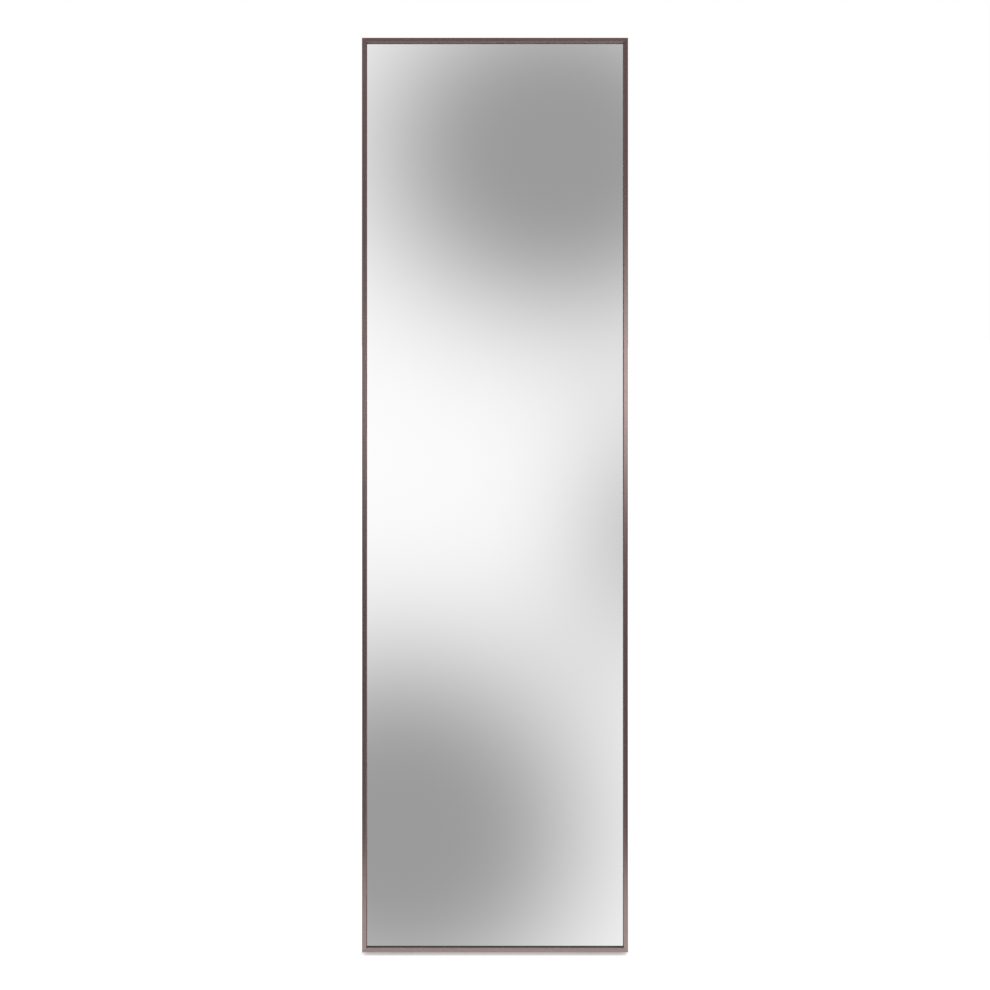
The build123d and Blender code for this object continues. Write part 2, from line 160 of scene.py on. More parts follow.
class Bench:
    """The modelling steps that pieces are made with."""

    @staticmethod
    def clear() -> None:
        """Leaves edit mode and deselects everything."""
        active = bpy.context.view_layer.objects.active
        if active is not None and active.mode != "OBJECT":
            bpy.ops.object.mode_set(mode="OBJECT")
        bpy.ops.object.select_all(action="DESELECT")

    @staticmethod
    def take(piece: bpy.types.Object) -> bpy.types.Object:
        """Makes a piece the only selected one, and the active one.

        Args:
            piece: the piece to work on.

        Returns:
            The same piece.
        """
        Bench.clear()
        piece.select_set(True)
        bpy.context.view_layer.objects.active = piece
        return piece

    @staticmethod
    def pick(kind: Pick, test: Callable) -> None:
        """Selects parts of the active piece in edit mode, by their place.

        Args:
            kind: whether points, edges or faces are picked.
            test: takes a point's place, an edge's two places, or a face's middle and
                normal, and says whether it is picked.
        """
        piece = bpy.context.view_layer.objects.active
        if piece.mode != "EDIT":
            bpy.ops.object.mode_set(mode="EDIT")
        bpy.context.tool_settings.mesh_select_mode = kind.value
        bpy.ops.mesh.select_all(action="DESELECT")
        bpy.ops.object.mode_set(mode="OBJECT")
        mesh = piece.data
        if kind is Pick.POINTS:
            for point in mesh.vertices:
                point.select = test(point.co)
        elif kind is Pick.EDGES:
            for edge in mesh.edges:
                start, end = edge.vertices
                edge.select = test(mesh.vertices[start].co, mesh.vertices[end].co)
        else:
            for face in mesh.polygons:
                face.select = test(face.center, face.normal)
        bpy.ops.object.mode_set(mode="EDIT")

    @staticmethod
    def extrude(move: tuple[float, float, float], scale: float = 1.0, height: float = 0.0) -> None:
        """Extrudes the picked face, then scales it about the piece's own upright axis.

        Args:
            move: how far the new face goes.
            scale: the new face's size, as a share of its old one.
            height: the new face's place on the upright axis.
        """
        bpy.ops.mesh.extrude_region_move(TRANSFORM_OT_translate={"value": move})
        if scale != 1.0:
            bpy.ops.transform.resize(
                value=(scale, scale, 1.0), center_override=(0.0, 0.0, height)
            )

    @staticmethod
    def finish_mesh(piece: bpy.types.Object, angle: float = 35.0) -> None:
        """Merges doubles, turns faces outwards and shades a piece smooth by angle.

        Args:
            piece: the piece.
            angle: sharpest angle in degrees that still looks smooth.
        """
        Bench.take(piece)
        bpy.ops.object.mode_set(mode="EDIT")
        bpy.ops.mesh.select_all(action="SELECT")
        bpy.ops.mesh.remove_doubles(threshold=CLOSE)
        bpy.ops.mesh.normals_make_consistent(inside=False)
        bpy.ops.object.mode_set(mode="OBJECT")
        Bench.shade(piece, angle)

    @staticmethod
    def bevel(piece: bpy.types.Object, width: float, steps: int, angle: float = 35.0) -> None:
        """Rounds a piece's sharp edges with a bevel that is applied.

        Args:
            piece: the piece.
            width: width of the rounded edge.
            steps: faces across it.
            angle: edges sharper than this, in degrees, are rounded.
        """
        Bench.take(piece)
        bevel = piece.modifiers.new("edges", "BEVEL")
        bevel.width = width
        bevel.segments = steps
        bevel.limit_method = "ANGLE"
        bevel.angle_limit = math.radians(angle)
        bevel.use_clamp_overlap = True
        bpy.ops.object.modifier_apply(modifier=bevel.name)

    @staticmethod
    def cad_copy(node: str, name: str, width: float, steps: int = 2) -> bpy.types.Object:
        """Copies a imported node, merges its triangles and softens its edges.

        Args:
            node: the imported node's name.
            name: the new piece's name.
            width: width of the softened edges.
            steps: faces across a softened edge.

        Returns:
            The new piece, which stands for the node.
        """
        Bench.take(frame["nodes"][node])
        bpy.ops.object.duplicate()
        piece = bpy.context.view_layer.objects.active
        bpy.ops.object.parent_clear(type="CLEAR_KEEP_TRANSFORM")
        piece.name = name
        piece.data.name = name
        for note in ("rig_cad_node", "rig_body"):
            if note in piece:
                del piece[note]
        bpy.ops.object.mode_set(mode="EDIT")
        bpy.ops.mesh.select_all(action="SELECT")
        bpy.ops.mesh.customdata_custom_splitnormals_clear()
        bpy.ops.mesh.remove_doubles(threshold=2e-6)
        bpy.ops.mesh.dissolve_limited(angle_limit=math.radians(0.4))
        bpy.ops.object.mode_set(mode="OBJECT")
        Bench.bevel(piece, width, steps)
        Bench.shade(piece)
        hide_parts(node)
        return piece

    @staticmethod
    def shade(piece: bpy.types.Object, angle: float = 35.0) -> None:
        """Shades a piece smooth by angle, with its large faces kept flat.

        Args:
            piece: the piece.
            angle: sharpest angle in degrees that still looks smooth.
        """
        Bench.take(piece)
        bpy.ops.object.shade_smooth_by_angle(angle=math.radians(angle))
        weigh = piece.modifiers.new("normals", "WEIGHTED_NORMAL")
        weigh.mode = "FACE_AREA"
        weigh.weight = 100
        weigh.keep_sharp = True
        bpy.ops.object.modifier_apply(modifier=weigh.name)

    @staticmethod
    def place(piece: bpy.types.Object, point: Vector, along: Vector) -> None:
        """Puts a piece made about the origin in its place, and keeps the place in its mesh.

        Args:
            piece: the piece, with its axis upright through the origin.
            point: where its origin goes.
            along: where its axis points.
        """
        Bench.take(piece)
        turn = Vector((0.0, 0.0, 1.0)).rotation_difference(along)
        piece.matrix_world = Matrix.Translation(point) @ turn.to_matrix().to_4x4()
        bpy.ops.object.transform_apply(location=True, rotation=True, scale=True)

    @staticmethod
    def repeat(piece: bpy.types.Object, name: str) -> bpy.types.Object:
        """Copies a piece that is modelled once, with a mesh of its own.

        Args:
            piece: the piece.
            name: the copy's name.

        Returns:
            The copy.
        """
        Bench.take(piece)
        bpy.ops.object.duplicate()
        copy = bpy.context.view_layer.objects.active
        copy.name = name
        copy.data.name = name
        return copy

    @staticmethod
    def join(pieces: list[bpy.types.Object], name: str) -> bpy.types.Object:
        """Joins copies that make one piece.

        Args:
            pieces: the copies.
            name: the joined piece's name.

        Returns:
            The joined piece.
        """
        Bench.take(pieces[0])
        for piece in pieces[1:]:
            piece.select_set(True)
        bpy.ops.object.join()
        joined = bpy.context.view_layer.objects.active
        joined.name = name
        joined.data.name = name
        return joined

    @staticmethod
    def drop(piece: bpy.types.Object) -> None:
        """Removes a pattern piece that its copies came from."""
        bpy.data.objects.remove(piece, do_unlink=True)


class Shader:
    """One procedural material in the making."""

    def __init__(self, name: str) -> None:
        """Starts a material with a plain surface.

        Args:
            name: the material's name.
        """
        self.material = bpy.data.materials.new(name)
        self.material.use_nodes = True
        tree = self.material.node_tree
        self.nodes = tree.nodes
        self.links = tree.links
        self.nodes.clear()
        self.surface = self.nodes.new("ShaderNodeBsdfPrincipled")
        output = self.nodes.new("ShaderNodeOutputMaterial")
        self.links.new(self.surface.outputs["BSDF"], output.inputs["Surface"])

    def even(self, values: dict[str, float]) -> None:
        """Sets values that are the same all over the surface, on its own sockets."""
        for socket, value in values.items():
            self.surface.inputs[socket].default_value = value

    def feed(self, socket: str, source: bpy.types.NodeSocket) -> None:
        """Links a pattern to one of the surface's sockets."""
        self.links.new(source, self.surface.inputs[socket])

    def add(self, kind: str, inputs: dict, **settings: object) -> bpy.types.Node:
        """Adds a node with its settings and inputs.

        Args:
            kind: the node's type.
            inputs: value or source of each input, by its name or number.
            settings: the node's own settings.

        Returns:
            The node.
        """
        node = self.nodes.new(kind)
        for setting, value in settings.items():
            setattr(node, setting, value)
        for key, value in inputs.items():
            if isinstance(value, bpy.types.NodeSocket):
                self.links.new(value, node.inputs[key])
            else:
                node.inputs[key].default_value = value
        return node

    def place(self, turn: float = 0.0, stretch: Colour = (1.0, 1.0, 1.0)) -> bpy.types.NodeSocket:
        """Coordinates on the piece, leaned back and then stretched.

        Args:
            turn: how far the pattern leans back with the mirror, in radians.
            stretch: scale along each axis after the turn.

        Returns:
            The coordinates.
        """
        place = self.add("ShaderNodeTexCoord", {}).outputs["Object"]
        leaned = self.add(
            "ShaderNodeMapping", {"Vector": place, "Rotation": (turn, 0.0, 0.0)}
        ).outputs[0]
        return self.add(
            "ShaderNodeVectorMath", {0: leaned, 1: stretch}, operation="MULTIPLY"
        ).outputs[0]

    def noise(
        self, place: bpy.types.NodeSocket, scale: float, detail: float = 3.0, rough: float = 0.5
    ) -> bpy.types.NodeSocket:
        """Cloudy pattern from 0 to 1.

        Args:
            place: the coordinates.
            scale: its fineness.
            detail: how many finer layers it has.
            rough: weight of the finer layers.

        Returns:
            The pattern.
        """
        return self.add(
            "ShaderNodeTexNoise",
            {"Vector": place, "Scale": scale, "Detail": detail, "Roughness": rough},
        ).outputs[0]

    def cells(self, place: bpy.types.NodeSocket, scale: float) -> bpy.types.NodeSocket:
        """Pattern of cells, as the distance from each cell's middle.

        Args:
            place: the coordinates.
            scale: how many cells lie in a metre.

        Returns:
            The pattern.
        """
        return self.add(
            "ShaderNodeTexVoronoi", {"Vector": place, "Scale": scale}, feature="F1"
        ).outputs["Distance"]

    def bands(
        self, place: bpy.types.NodeSocket, pitch: float, axis: str
    ) -> bpy.types.NodeSocket:
        """Even bands from 0 to 1 across one axis.

        Args:
            place: the coordinates.
            pitch: distance from band to band.
            axis: the axis, X, Y or Z.

        Returns:
            The pattern.
        """
        return self.add(
            "ShaderNodeTexWave",
            {"Vector": place, "Scale": 2.0 * math.pi / (20.0 * pitch), "Distortion": 0.0},
            bands_direction=axis,
        ).outputs["Fac"]

    def spread(
        self,
        source: bpy.types.NodeSocket,
        low: float,
        high: float,
        start: float = 0.3,
        end: float = 0.7,
    ) -> bpy.types.NodeSocket:
        """Pattern as a value between two limits.

        Args:
            source: the pattern.
            low: value at and below the start.
            high: value at and above the end.
            start: where the pattern starts to count.
            end: where it stops.

        Returns:
            The value.
        """
        return self.add(
            "ShaderNodeMapRange",
            {"Value": source, "From Min": start, "From Max": end, "To Min": low, "To Max": high},
        ).outputs[0]

    def ramp(
        self, source: bpy.types.NodeSocket, stops: list[tuple[float, Colour]]
    ) -> bpy.types.NodeSocket:
        """Pattern as a colour that goes through several stops.

        Args:
            source: the pattern.
            stops: place and colour of each stop, the two ends first.

        Returns:
            The colour.
        """
        ramp = self.nodes.new("ShaderNodeValToRGB")
        marks = ramp.color_ramp.elements
        for number, (place, colour) in enumerate(stops):
            if number < 2:
                mark = marks[number]
                mark.position = place
            else:
                mark = marks.new(place)
            mark.color = (*colour, 1.0)
        self.links.new(source, ramp.inputs["Fac"])
        return ramp.outputs["Color"]

    def tint(
        self, share: bpy.types.NodeSocket, first: object, second: object, blend: str = "MIX"
    ) -> bpy.types.NodeSocket:
        """Mixes two colours by a pattern.

        Args:
            share: how much of the second colour shows.
            first: colour or source.
            second: colour or source.
            blend: how they mix.

        Returns:
            The colour.
        """
        mix = self.add(
            "ShaderNodeMix", {0: share}, data_type="RGBA", blend_type=blend, clamp_factor=True
        )
        for number, value in ((6, first), (7, second)):
            if isinstance(value, bpy.types.NodeSocket):
                self.links.new(value, mix.inputs[number])
            else:
                mix.inputs[number].default_value = (*value, 1.0)
        return mix.outputs[2]

    def sum(
        self, first: bpy.types.NodeSocket, second: object, operation: str = "ADD"
    ) -> bpy.types.NodeSocket:
        """Two values added, or joined by another sum."""
        return self.add("ShaderNodeMath", {0: first, 1: second}, operation=operation).outputs[0]

    def relief(self, *layers: tuple[bpy.types.NodeSocket, float]) -> None:
        """Gives the surface a relief, layer over layer.

        Args:
            layers: pattern and depth in metres of each layer.
        """
        normal = None
        for height, depth in layers:
            inputs = {"Height": height, "Distance": depth, "Strength": 1.0}
            if normal is not None:
                inputs["Normal"] = normal
            normal = self.add("ShaderNodeBump", inputs).outputs["Normal"]
        self.feed("Normal", normal)


@dataclass(frozen=True)
class Finish:
    """A procedural finish, made once and shared by the pieces that have it."""

    name: str = "finish"

    def material(self) -> bpy.types.Material:
        """Finds the finish's material, or makes it when it is first asked for.

        Returns:
            The material.
        """
        made = bpy.data.materials.get(self.name)
        if made is None:
            made = self.make()
        return made

    def make(self) -> bpy.types.Material:
        """Makes the material. Each finish has its own way."""
        raise NotImplementedError

    def cover(self, piece: bpy.types.Object) -> None:
        """Gives the finish to a whole piece."""
        piece.data.materials.clear()
        piece.data.materials.append(self.material())


@dataclass(frozen=True)
class BrushedBronze(Finish):
    """Bronze anodised aluminium, brushed along the rail."""

    name: str = "bronze_level"
    grain: Grain = Grain.LEVEL
    shadow: Colour = (0.320, 0.240, 0.226)
    light: Colour = (0.395, 0.299, 0.283)

    def make(self) -> bpy.types.Material:
        """Makes the bronze with its brush lines along the rail.

        Returns:
            The material.
        """
        shader = Shader(self.name)
        upright = self.grain is Grain.UPRIGHT
        if upright:
            fine = (2600.0, 2600.0, 7.0)
            coarse = (420.0, 420.0, 1.6)
        else:
            fine = (7.0, 2600.0, 2600.0)
            coarse = (1.6, 420.0, 420.0)
        lines = shader.noise(shader.place(MIRROR.lean, fine), 1.0, 2.0, 0.6)
        streaks = shader.noise(shader.place(MIRROR.lean, coarse), 1.0, 2.0, 0.5)
        clouds = shader.noise(shader.place(), 7.0, 3.0, 0.55)
        both = shader.sum(
            shader.sum(lines, 0.55, "MULTIPLY"), shader.sum(streaks, 0.45, "MULTIPLY")
        )
        colour = shader.ramp(both, [(0.34, self.shadow), (0.66, self.light)])
        handled = shader.spread(clouds, 0.0, 0.16, 0.55, 0.85)
        shader.feed("Base Color", shader.tint(handled, colour, (0.30, 0.20, 0.17)))
        rough = shader.sum(
            shader.spread(both, 0.125, 0.165), shader.spread(clouds, 0.0, 0.03, 0.5, 0.8)
        )
        shader.feed("Roughness", rough)
        shader.even(
            {
                "Metallic": 0.86,
                "Anisotropic": 0.92,
                "Anisotropic Rotation": 0.0 if upright else 0.25,
                "Coat Weight": 0.10,
                "Coat Roughness": 0.12,
            }
        )
        tangent = shader.add("ShaderNodeTangent", {}, direction_type="UV_MAP")
        shader.feed("Tangent", tangent.outputs[0])
        shader.relief((lines, 0.0000025), (streaks, 0.000004))
        return shader.material


@dataclass(frozen=True)
class SilveredGlass(Finish):
    """The mirror's front: clear glass with silver behind it, faint wipe marks and dust.

    Its gloss is perfectly even, so that what it shows stays sharp.
    """

    name: str = "silvered_glass"
    silver: Colour = (0.985, 0.988, 0.985)

    def make(self) -> bpy.types.Material:
        """Makes the silver with wipe marks and specks that dull it a little.

        Returns:
            The material.
        """
        shader = Shader(self.name)
        wipes = shader.noise(shader.place(MIRROR.lean, (5.0, 5.0, 1.4)), 1.3, 4.0, 0.6)
        specks = shader.cells(shader.place(), 90.0)
        dulled = shader.spread(wipes, 0.0, 0.5, 0.55, 0.85)
        silver = shader.tint(dulled, self.silver, (0.972, 0.978, 0.975))
        dust = shader.spread(specks, 0.25, 0.0, 0.02, 0.06)
        shader.feed("Base Color", shader.tint(dust, silver, (0.93, 0.93, 0.92)))
        shader.even({"Metallic": 1.0, "Roughness": 0.0})
        return shader.material


@dataclass(frozen=True)
class GroundEdge(Finish):
    """The ground edge of the glass."""

    name: str = "ground_edge"

    def make(self) -> bpy.types.Material:
        """Makes the grey-green edge with its grinding marks.

        Returns:
            The material.
        """
        shader = Shader(self.name)
        marks = shader.noise(shader.place(MIRROR.lean, (900.0, 900.0, 900.0)), 1.0, 2.0)
        shader.feed(
            "Base Color", shader.ramp(marks, [(0.3, (0.30, 0.42, 0.37)), (0.7, (0.46, 0.58, 0.52))])
        )
        shader.feed("Roughness", shader.spread(marks, 0.3, 0.5))
        shader.relief((marks, 0.00002))
        return shader.material


@dataclass(frozen=True)
class PlainCoat(Finish):
    """A coat with clouds of colour, a fine relief and an uneven gloss.

    One class serves powder coat, backing paint, moulded nylon, rubber and film, which differ
    in their values.
    """

    name: str = "coat"
    dark: Colour = (0.05, 0.05, 0.05)
    pale: Colour = (0.07, 0.07, 0.07)
    cloud: float = 25.0
    gloss: tuple[float, float] = (0.4, 0.5)
    pimple: float = 900.0
    depth: float = 0.00003
    metallic: float = 0.0
    coat: float = 0.0
    dust: float = 0.0

    def make(self) -> bpy.types.Material:
        """Makes the coat from its values.

        Returns:
            The material.
        """
        shader = Shader(self.name)
        clouds = shader.noise(shader.place(), self.cloud, 4.0, 0.6)
        pimples = shader.noise(shader.place(), self.pimple, 2.0, 0.5)
        colour = shader.ramp(clouds, [(0.32, self.dark), (0.68, self.pale)])
        if self.dust > 0.0:
            settled = shader.noise(shader.place(), 90.0, 5.0, 0.7)
            share = shader.spread(settled, 0.0, self.dust, 0.5, 0.8)
            colour = shader.tint(share, colour, (0.36, 0.34, 0.31))
        shader.feed("Base Color", colour)
        shader.feed("Roughness", shader.spread(clouds, *self.gloss))
        shader.even({"Metallic": self.metallic, "Coat Weight": self.coat, "Coat Roughness": 0.2})
        shader.relief((pimples, self.depth))
        return shader.material


@dataclass(frozen=True)
class Hardboard(Finish):
    """Brown hardboard with the screen's print on its rough side, and painted shade in the print's
    pits.
    """

    name: str = "hardboard"
    dark: Colour = (0.190, 0.100, 0.048)
    pale: Colour = (0.330, 0.190, 0.100)
    pitch: float = 0.0011

    def make(self) -> bpy.types.Material:
        """Makes the pressed fibres, the darker stains, the screen's print and painted shade in its
        pits.

        Returns:
            The material.
        """
        shader = Shader(self.name)
        place = shader.place(MIRROR.lean)
        fibres = shader.noise(shader.place(MIRROR.lean, (260.0, 260.0, 1100.0)), 1.0, 4.0, 0.7)
        threads = shader.noise(shader.place(MIRROR.lean, (1500.0, 1500.0, 240.0)), 1.0, 3.0, 0.7)
        clouds = shader.noise(shader.place(MIRROR.lean), 6.0, 6.0, 0.62)
        mixed = shader.sum(
            shader.sum(shader.sum(fibres, threads), 0.3, "MULTIPLY"),
            shader.sum(clouds, 0.4, "MULTIPLY"),
        )
        colour = shader.ramp(
            mixed,
            [(0.36, self.dark), (0.62, self.pale), (0.5, (0.255, 0.143, 0.072))],
        )
        shives = shader.spread(shader.cells(place, 210.0), 0.45, 0.0, 0.05, 0.16)
        colour = shader.tint(shives, colour, (0.46, 0.31, 0.19))
        screen = shader.sum(
            shader.bands(place, self.pitch, "X"), shader.bands(place, self.pitch, "Z"), "MULTIPLY"
        )
        # Painted shade: darker colour in the low pits of the screen's relief.
        painted_pit_shade = shader.spread(screen, 0.28, 0.0, 0.0, 0.5)
        shader.feed("Base Color", shader.tint(painted_pit_shade, colour, (0.13, 0.07, 0.034)))
        shader.feed("Roughness", shader.spread(mixed, 0.72, 0.86))
        shader.even({"Specular IOR Level": 0.3})
        shader.relief((screen, 0.00012), (fibres, 0.00005))
        return shader.material


@dataclass(frozen=True)
class CellFoam(Finish):
    """White closed-cell foam sheet."""

    name: str = "cell_foam"

    def make(self) -> bpy.types.Material:
        """Makes the foam's small cells.

        Returns:
            The material.
        """
        shader = Shader(self.name)
        cells = shader.cells(shader.place(), 700.0)
        shader.feed(
            "Base Color", shader.ramp(cells, [(0.1, (0.80, 0.80, 0.78)), (0.7, (0.66, 0.66, 0.64))])
        )
        shader.feed("Roughness", shader.spread(cells, 0.6, 0.75))
        shader.relief((cells, 0.0002))
        return shader.material


@dataclass(frozen=True)
class PlatedSteel(Finish):
    """Plated or blued steel, with rolling marks and tints that wander over it."""

    name: str = "zinc_plate"
    base: Colour = (0.56, 0.57, 0.58)
    warm: Colour = (0.60, 0.56, 0.46)
    cool: Colour = (0.46, 0.50, 0.58)
    gloss: tuple[float, float] = (0.24, 0.40)

    def make(self) -> bpy.types.Material:
        """Makes the plate with its wandering tints and fine scratches.

        Returns:
            The material.
        """
        shader = Shader(self.name)
        tints = shader.noise(shader.place(), 38.0, 3.0, 0.55)
        scratches = shader.noise(shader.place(MIRROR.lean, (90.0, 2400.0, 2400.0)), 1.0, 2.0, 0.6)
        spangle = shader.cells(shader.place(), 420.0)
        colour = shader.ramp(tints, [(0.34, self.cool), (0.66, self.warm), (0.5, self.base)])
        worn = shader.spread(scratches, 0.0, 0.35, 0.52, 0.75)
        shader.feed("Base Color", shader.tint(worn, colour, (0.66, 0.66, 0.65)))
        rough = shader.sum(
            shader.spread(tints, *self.gloss), shader.spread(spangle, 0.0, 0.06, 0.1, 0.6)
        )
        shader.feed("Roughness", rough)
        shader.even({"Metallic": 1.0})
        shader.relief((scratches, 0.000006), (spangle, 0.000008))
        return shader.material


BRONZE_LEVEL = BrushedBronze("bronze_level", Grain.LEVEL)
BRONZE_UPRIGHT = BrushedBronze("bronze_upright", Grain.UPRIGHT)
SILVER = SilveredGlass()
GLASS_EDGE = GroundEdge()
BACK_PAINT = PlainCoat(
    name="back_paint",
    dark=(0.16, 0.17, 0.18),
    pale=(0.22, 0.23, 0.24),
    cloud=14.0,
    gloss=(0.45, 0.6),
    pimple=1200.0,
    depth=0.00002,
)
BACK_FILM = PlainCoat(
    name="back_film",
    dark=(0.42, 0.47, 0.53),
    pale=(0.55, 0.60, 0.66),
    cloud=9.0,
    gloss=(0.25, 0.4),
    pimple=120.0,
    depth=0.0002,
)
FOAM = CellFoam()
HARDBOARD = Hardboard()
ZINC = PlatedSteel()
BLUED = PlatedSteel(
    name="blued_steel",
    base=(0.075, 0.085, 0.110),
    warm=(0.13, 0.10, 0.075),
    cool=(0.05, 0.065, 0.11),
    gloss=(0.28, 0.42),
)
POWDER = PlainCoat(
    name="powder_coat",
    dark=(0.050, 0.040, 0.036),
    pale=(0.066, 0.053, 0.047),
    cloud=30.0,
    gloss=(0.40, 0.50),
    pimple=620.0,
    depth=0.00005,
    metallic=0.25,
    coat=0.15,
)
NYLON = PlainCoat(
    name="black_nylon",
    dark=(0.020, 0.020, 0.021),
    pale=(0.030, 0.030, 0.031),
    cloud=60.0,
    gloss=(0.40, 0.55),
    pimple=1500.0,
    depth=0.00002,
)
WHITE_NYLON = PlainCoat(
    name="white_nylon",
    dark=(0.58, 0.58, 0.54),
    pale=(0.68, 0.68, 0.64),
    cloud=60.0,
    gloss=(0.35, 0.5),
    pimple=1500.0,
    depth=0.00002,
)
# Black strip on the glass along the rails' inner walls: painted shade, a dark sheet where the frame's
# recess is in shade.
BLACK_SHADE_STRIP = PlainCoat(
    name="black_gasket",
    dark=(0.014, 0.011, 0.013),
    pale=(0.022, 0.018, 0.020),
    cloud=40.0,
    gloss=(0.5, 0.65),
    pimple=1400.0,
    depth=0.00002,
)
RUBBER = PlainCoat(
    name="rubber",
    dark=(0.018, 0.018, 0.019),
    pale=(0.030, 0.030, 0.031),
    cloud=45.0,
    gloss=(0.62, 0.80),
    pimple=1300.0,
    depth=0.00006,
    dust=0.22,
)


def adopt(piece: bpy.types.Object, body: str, finish: Finish | None) -> None:
    """Gives a new piece its finish, slot and body, and reports it.

    Args:
        piece: the finished piece.
        body: the body that it rides on.
        finish: the finish, or None where its faces already have theirs.
    """
    if finish is not None:
        finish.cover(piece)
    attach(piece, body)
    log.info("%s on %s: %d faces", piece.name, body, len(piece.data.polygons))


def dress(node: str, finish: Finish) -> None:
    """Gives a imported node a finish.

    Args:
        node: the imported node's name.
        finish: the finish.
    """
    finish.cover(frame["nodes"][node])
    log.info("%s dressed in %s", node, finish.name)


@dataclass
class StarScrew:
    """A round-headed screw with a star recess, made upright with its seat at the origin."""

    head_radius: float = 0.0038
    head_height: float = 0.0024
    crown: float = 0.0011
    shank_radius: float = 0.0020
    shank_length: float = 0.0065
    recess_radius: float = 0.0016
    recess_depth: float = 0.0013
    recess_notch: float = 0.72
    thread_pitch: float = 0.0
    thread_length: float = 0.0
    thread_core: float = 0.88
    tip: float = 0.0004

    def build(self, name: str) -> bpy.types.Object:
        """Makes the head, its recess, and the shank with its thread.

        Args:
            name: the piece's name.

        Returns:
            The screw.
        """
        Bench.clear()
        bpy.ops.mesh.primitive_cylinder_add(
            vertices=24,
            radius=self.head_radius,
            depth=self.head_height,
            location=(0.0, 0.0, self.head_height / 2),
        )
        screw = bpy.context.view_layer.objects.active
        screw.name = name
        bpy.ops.object.transform_apply(location=True, rotation=True, scale=True)
        self._crown_and_recess()
        self._shank()
        Bench.finish_mesh(screw, 30.0)
        return screw

    def _crown_and_recess(self) -> None:
        """Rounds the head's rim and sinks the star recess into it."""
        top = self.head_height
        Bench.pick(Pick.EDGES, lambda start, end: start.z > top - CLOSE and end.z > top - CLOSE)
        bpy.ops.mesh.bevel(offset=self.crown, segments=5, profile=0.5, affect="EDGES")
        Bench.pick(Pick.FACES, lambda middle, normal: normal.z > 0.99 and middle.z > top - CLOSE)
        bpy.ops.mesh.inset(thickness=self.head_radius - self.crown - self.recess_radius)
        ring = self.recess_radius * 1.05
        notch = self.recess_notch
        Bench.pick(
            Pick.POINTS,
            lambda point: point.z > top - CLOSE
            and point.xy.length < ring
            and math.cos(6.0 * math.atan2(point.y, point.x)) < -0.5,
        )
        bpy.ops.transform.resize(value=(notch, notch, 1.0), center_override=(0.0, 0.0, top))
        Bench.pick(
            Pick.FACES,
            lambda middle, normal: normal.z > 0.99
            and middle.z > top - CLOSE
            and middle.xy.length < 1e-4,
        )
        Bench.extrude((0.0, 0.0, -self.recess_depth * 0.8))
        Bench.extrude((0.0, 0.0, -self.recess_depth * 0.2), 0.6, top - self.recess_depth)

    def _shank(self) -> None:
        """Draws the shank out of the underside, and turns its thread."""
        Bench.pick(Pick.FACES, lambda middle, normal: normal.z < -0.99 and middle.z < CLOSE)
        bpy.ops.mesh.inset(thickness=self.head_radius - self.shank_radius)
        plain = self.shank_length - self.thread_length - self.tip
        Bench.extrude((0.0, 0.0, -plain))
        place = -plain
        if self.thread_length > 0.0:
            turns = int(self.thread_length / self.thread_pitch)
            step = self.thread_length / turns / 4
            for _ in range(turns):
                for scale in (1.0, self.thread_core, 1.0, 1.0 / self.thread_core):
                    place -= step
                    Bench.extrude((0.0, 0.0, -step), scale, place)
        Bench.extrude((0.0, 0.0, -self.tip), 0.82, place - self.tip)


@dataclass
class SetScrew:
    """A headless screw with a six-sided socket, made upright with its socket's rim at 0."""

    radius: float = 0.0020
    length: float = 0.0064
    rim: float = 0.0003
    socket_radius: float = 0.0011
    socket_depth: float = 0.0012

    def build(self, name: str) -> bpy.types.Object:
        """Makes the screw with its rounded rim and its socket.

        Args:
            name: the piece's name.

        Returns:
            The screw.
        """
        Bench.clear()
        bpy.ops.mesh.primitive_cylinder_add(
            vertices=12,
            radius=self.radius,
            depth=self.length,
            location=(0.0, 0.0, -self.length / 2),
        )
        screw = bpy.context.view_layer.objects.active
        screw.name = name
        bpy.ops.object.transform_apply(location=True, rotation=True, scale=True)
        Bench.pick(Pick.EDGES, lambda start, end: abs(start.z - end.z) < 1e-7)
        bpy.ops.mesh.bevel(offset=self.rim, segments=2, profile=0.5, affect="EDGES")
        Bench.pick(Pick.FACES, lambda middle, normal: normal.z > 0.99 and middle.z > -CLOSE)
        bpy.ops.mesh.inset(thickness=self.radius - self.rim - self.socket_radius)
        Bench.pick(
            Pick.POINTS,
            lambda point: point.z > -CLOSE
            and point.xy.length < self.socket_radius * 1.05
            and math.cos(6.0 * math.atan2(point.y, point.x)) < 0.0,
        )
        bpy.ops.transform.resize(value=(0.866, 0.866, 1.0), center_override=(0.0, 0.0, 0.0))
        Bench.pick(
            Pick.FACES,
            lambda middle, normal: normal.z > 0.99
            and middle.z > -CLOSE
            and middle.xy.length < 1e-4,
        )
        Bench.extrude((0.0, 0.0, -self.socket_depth))
        Bench.finish_mesh(screw, 30.0)
        return screw


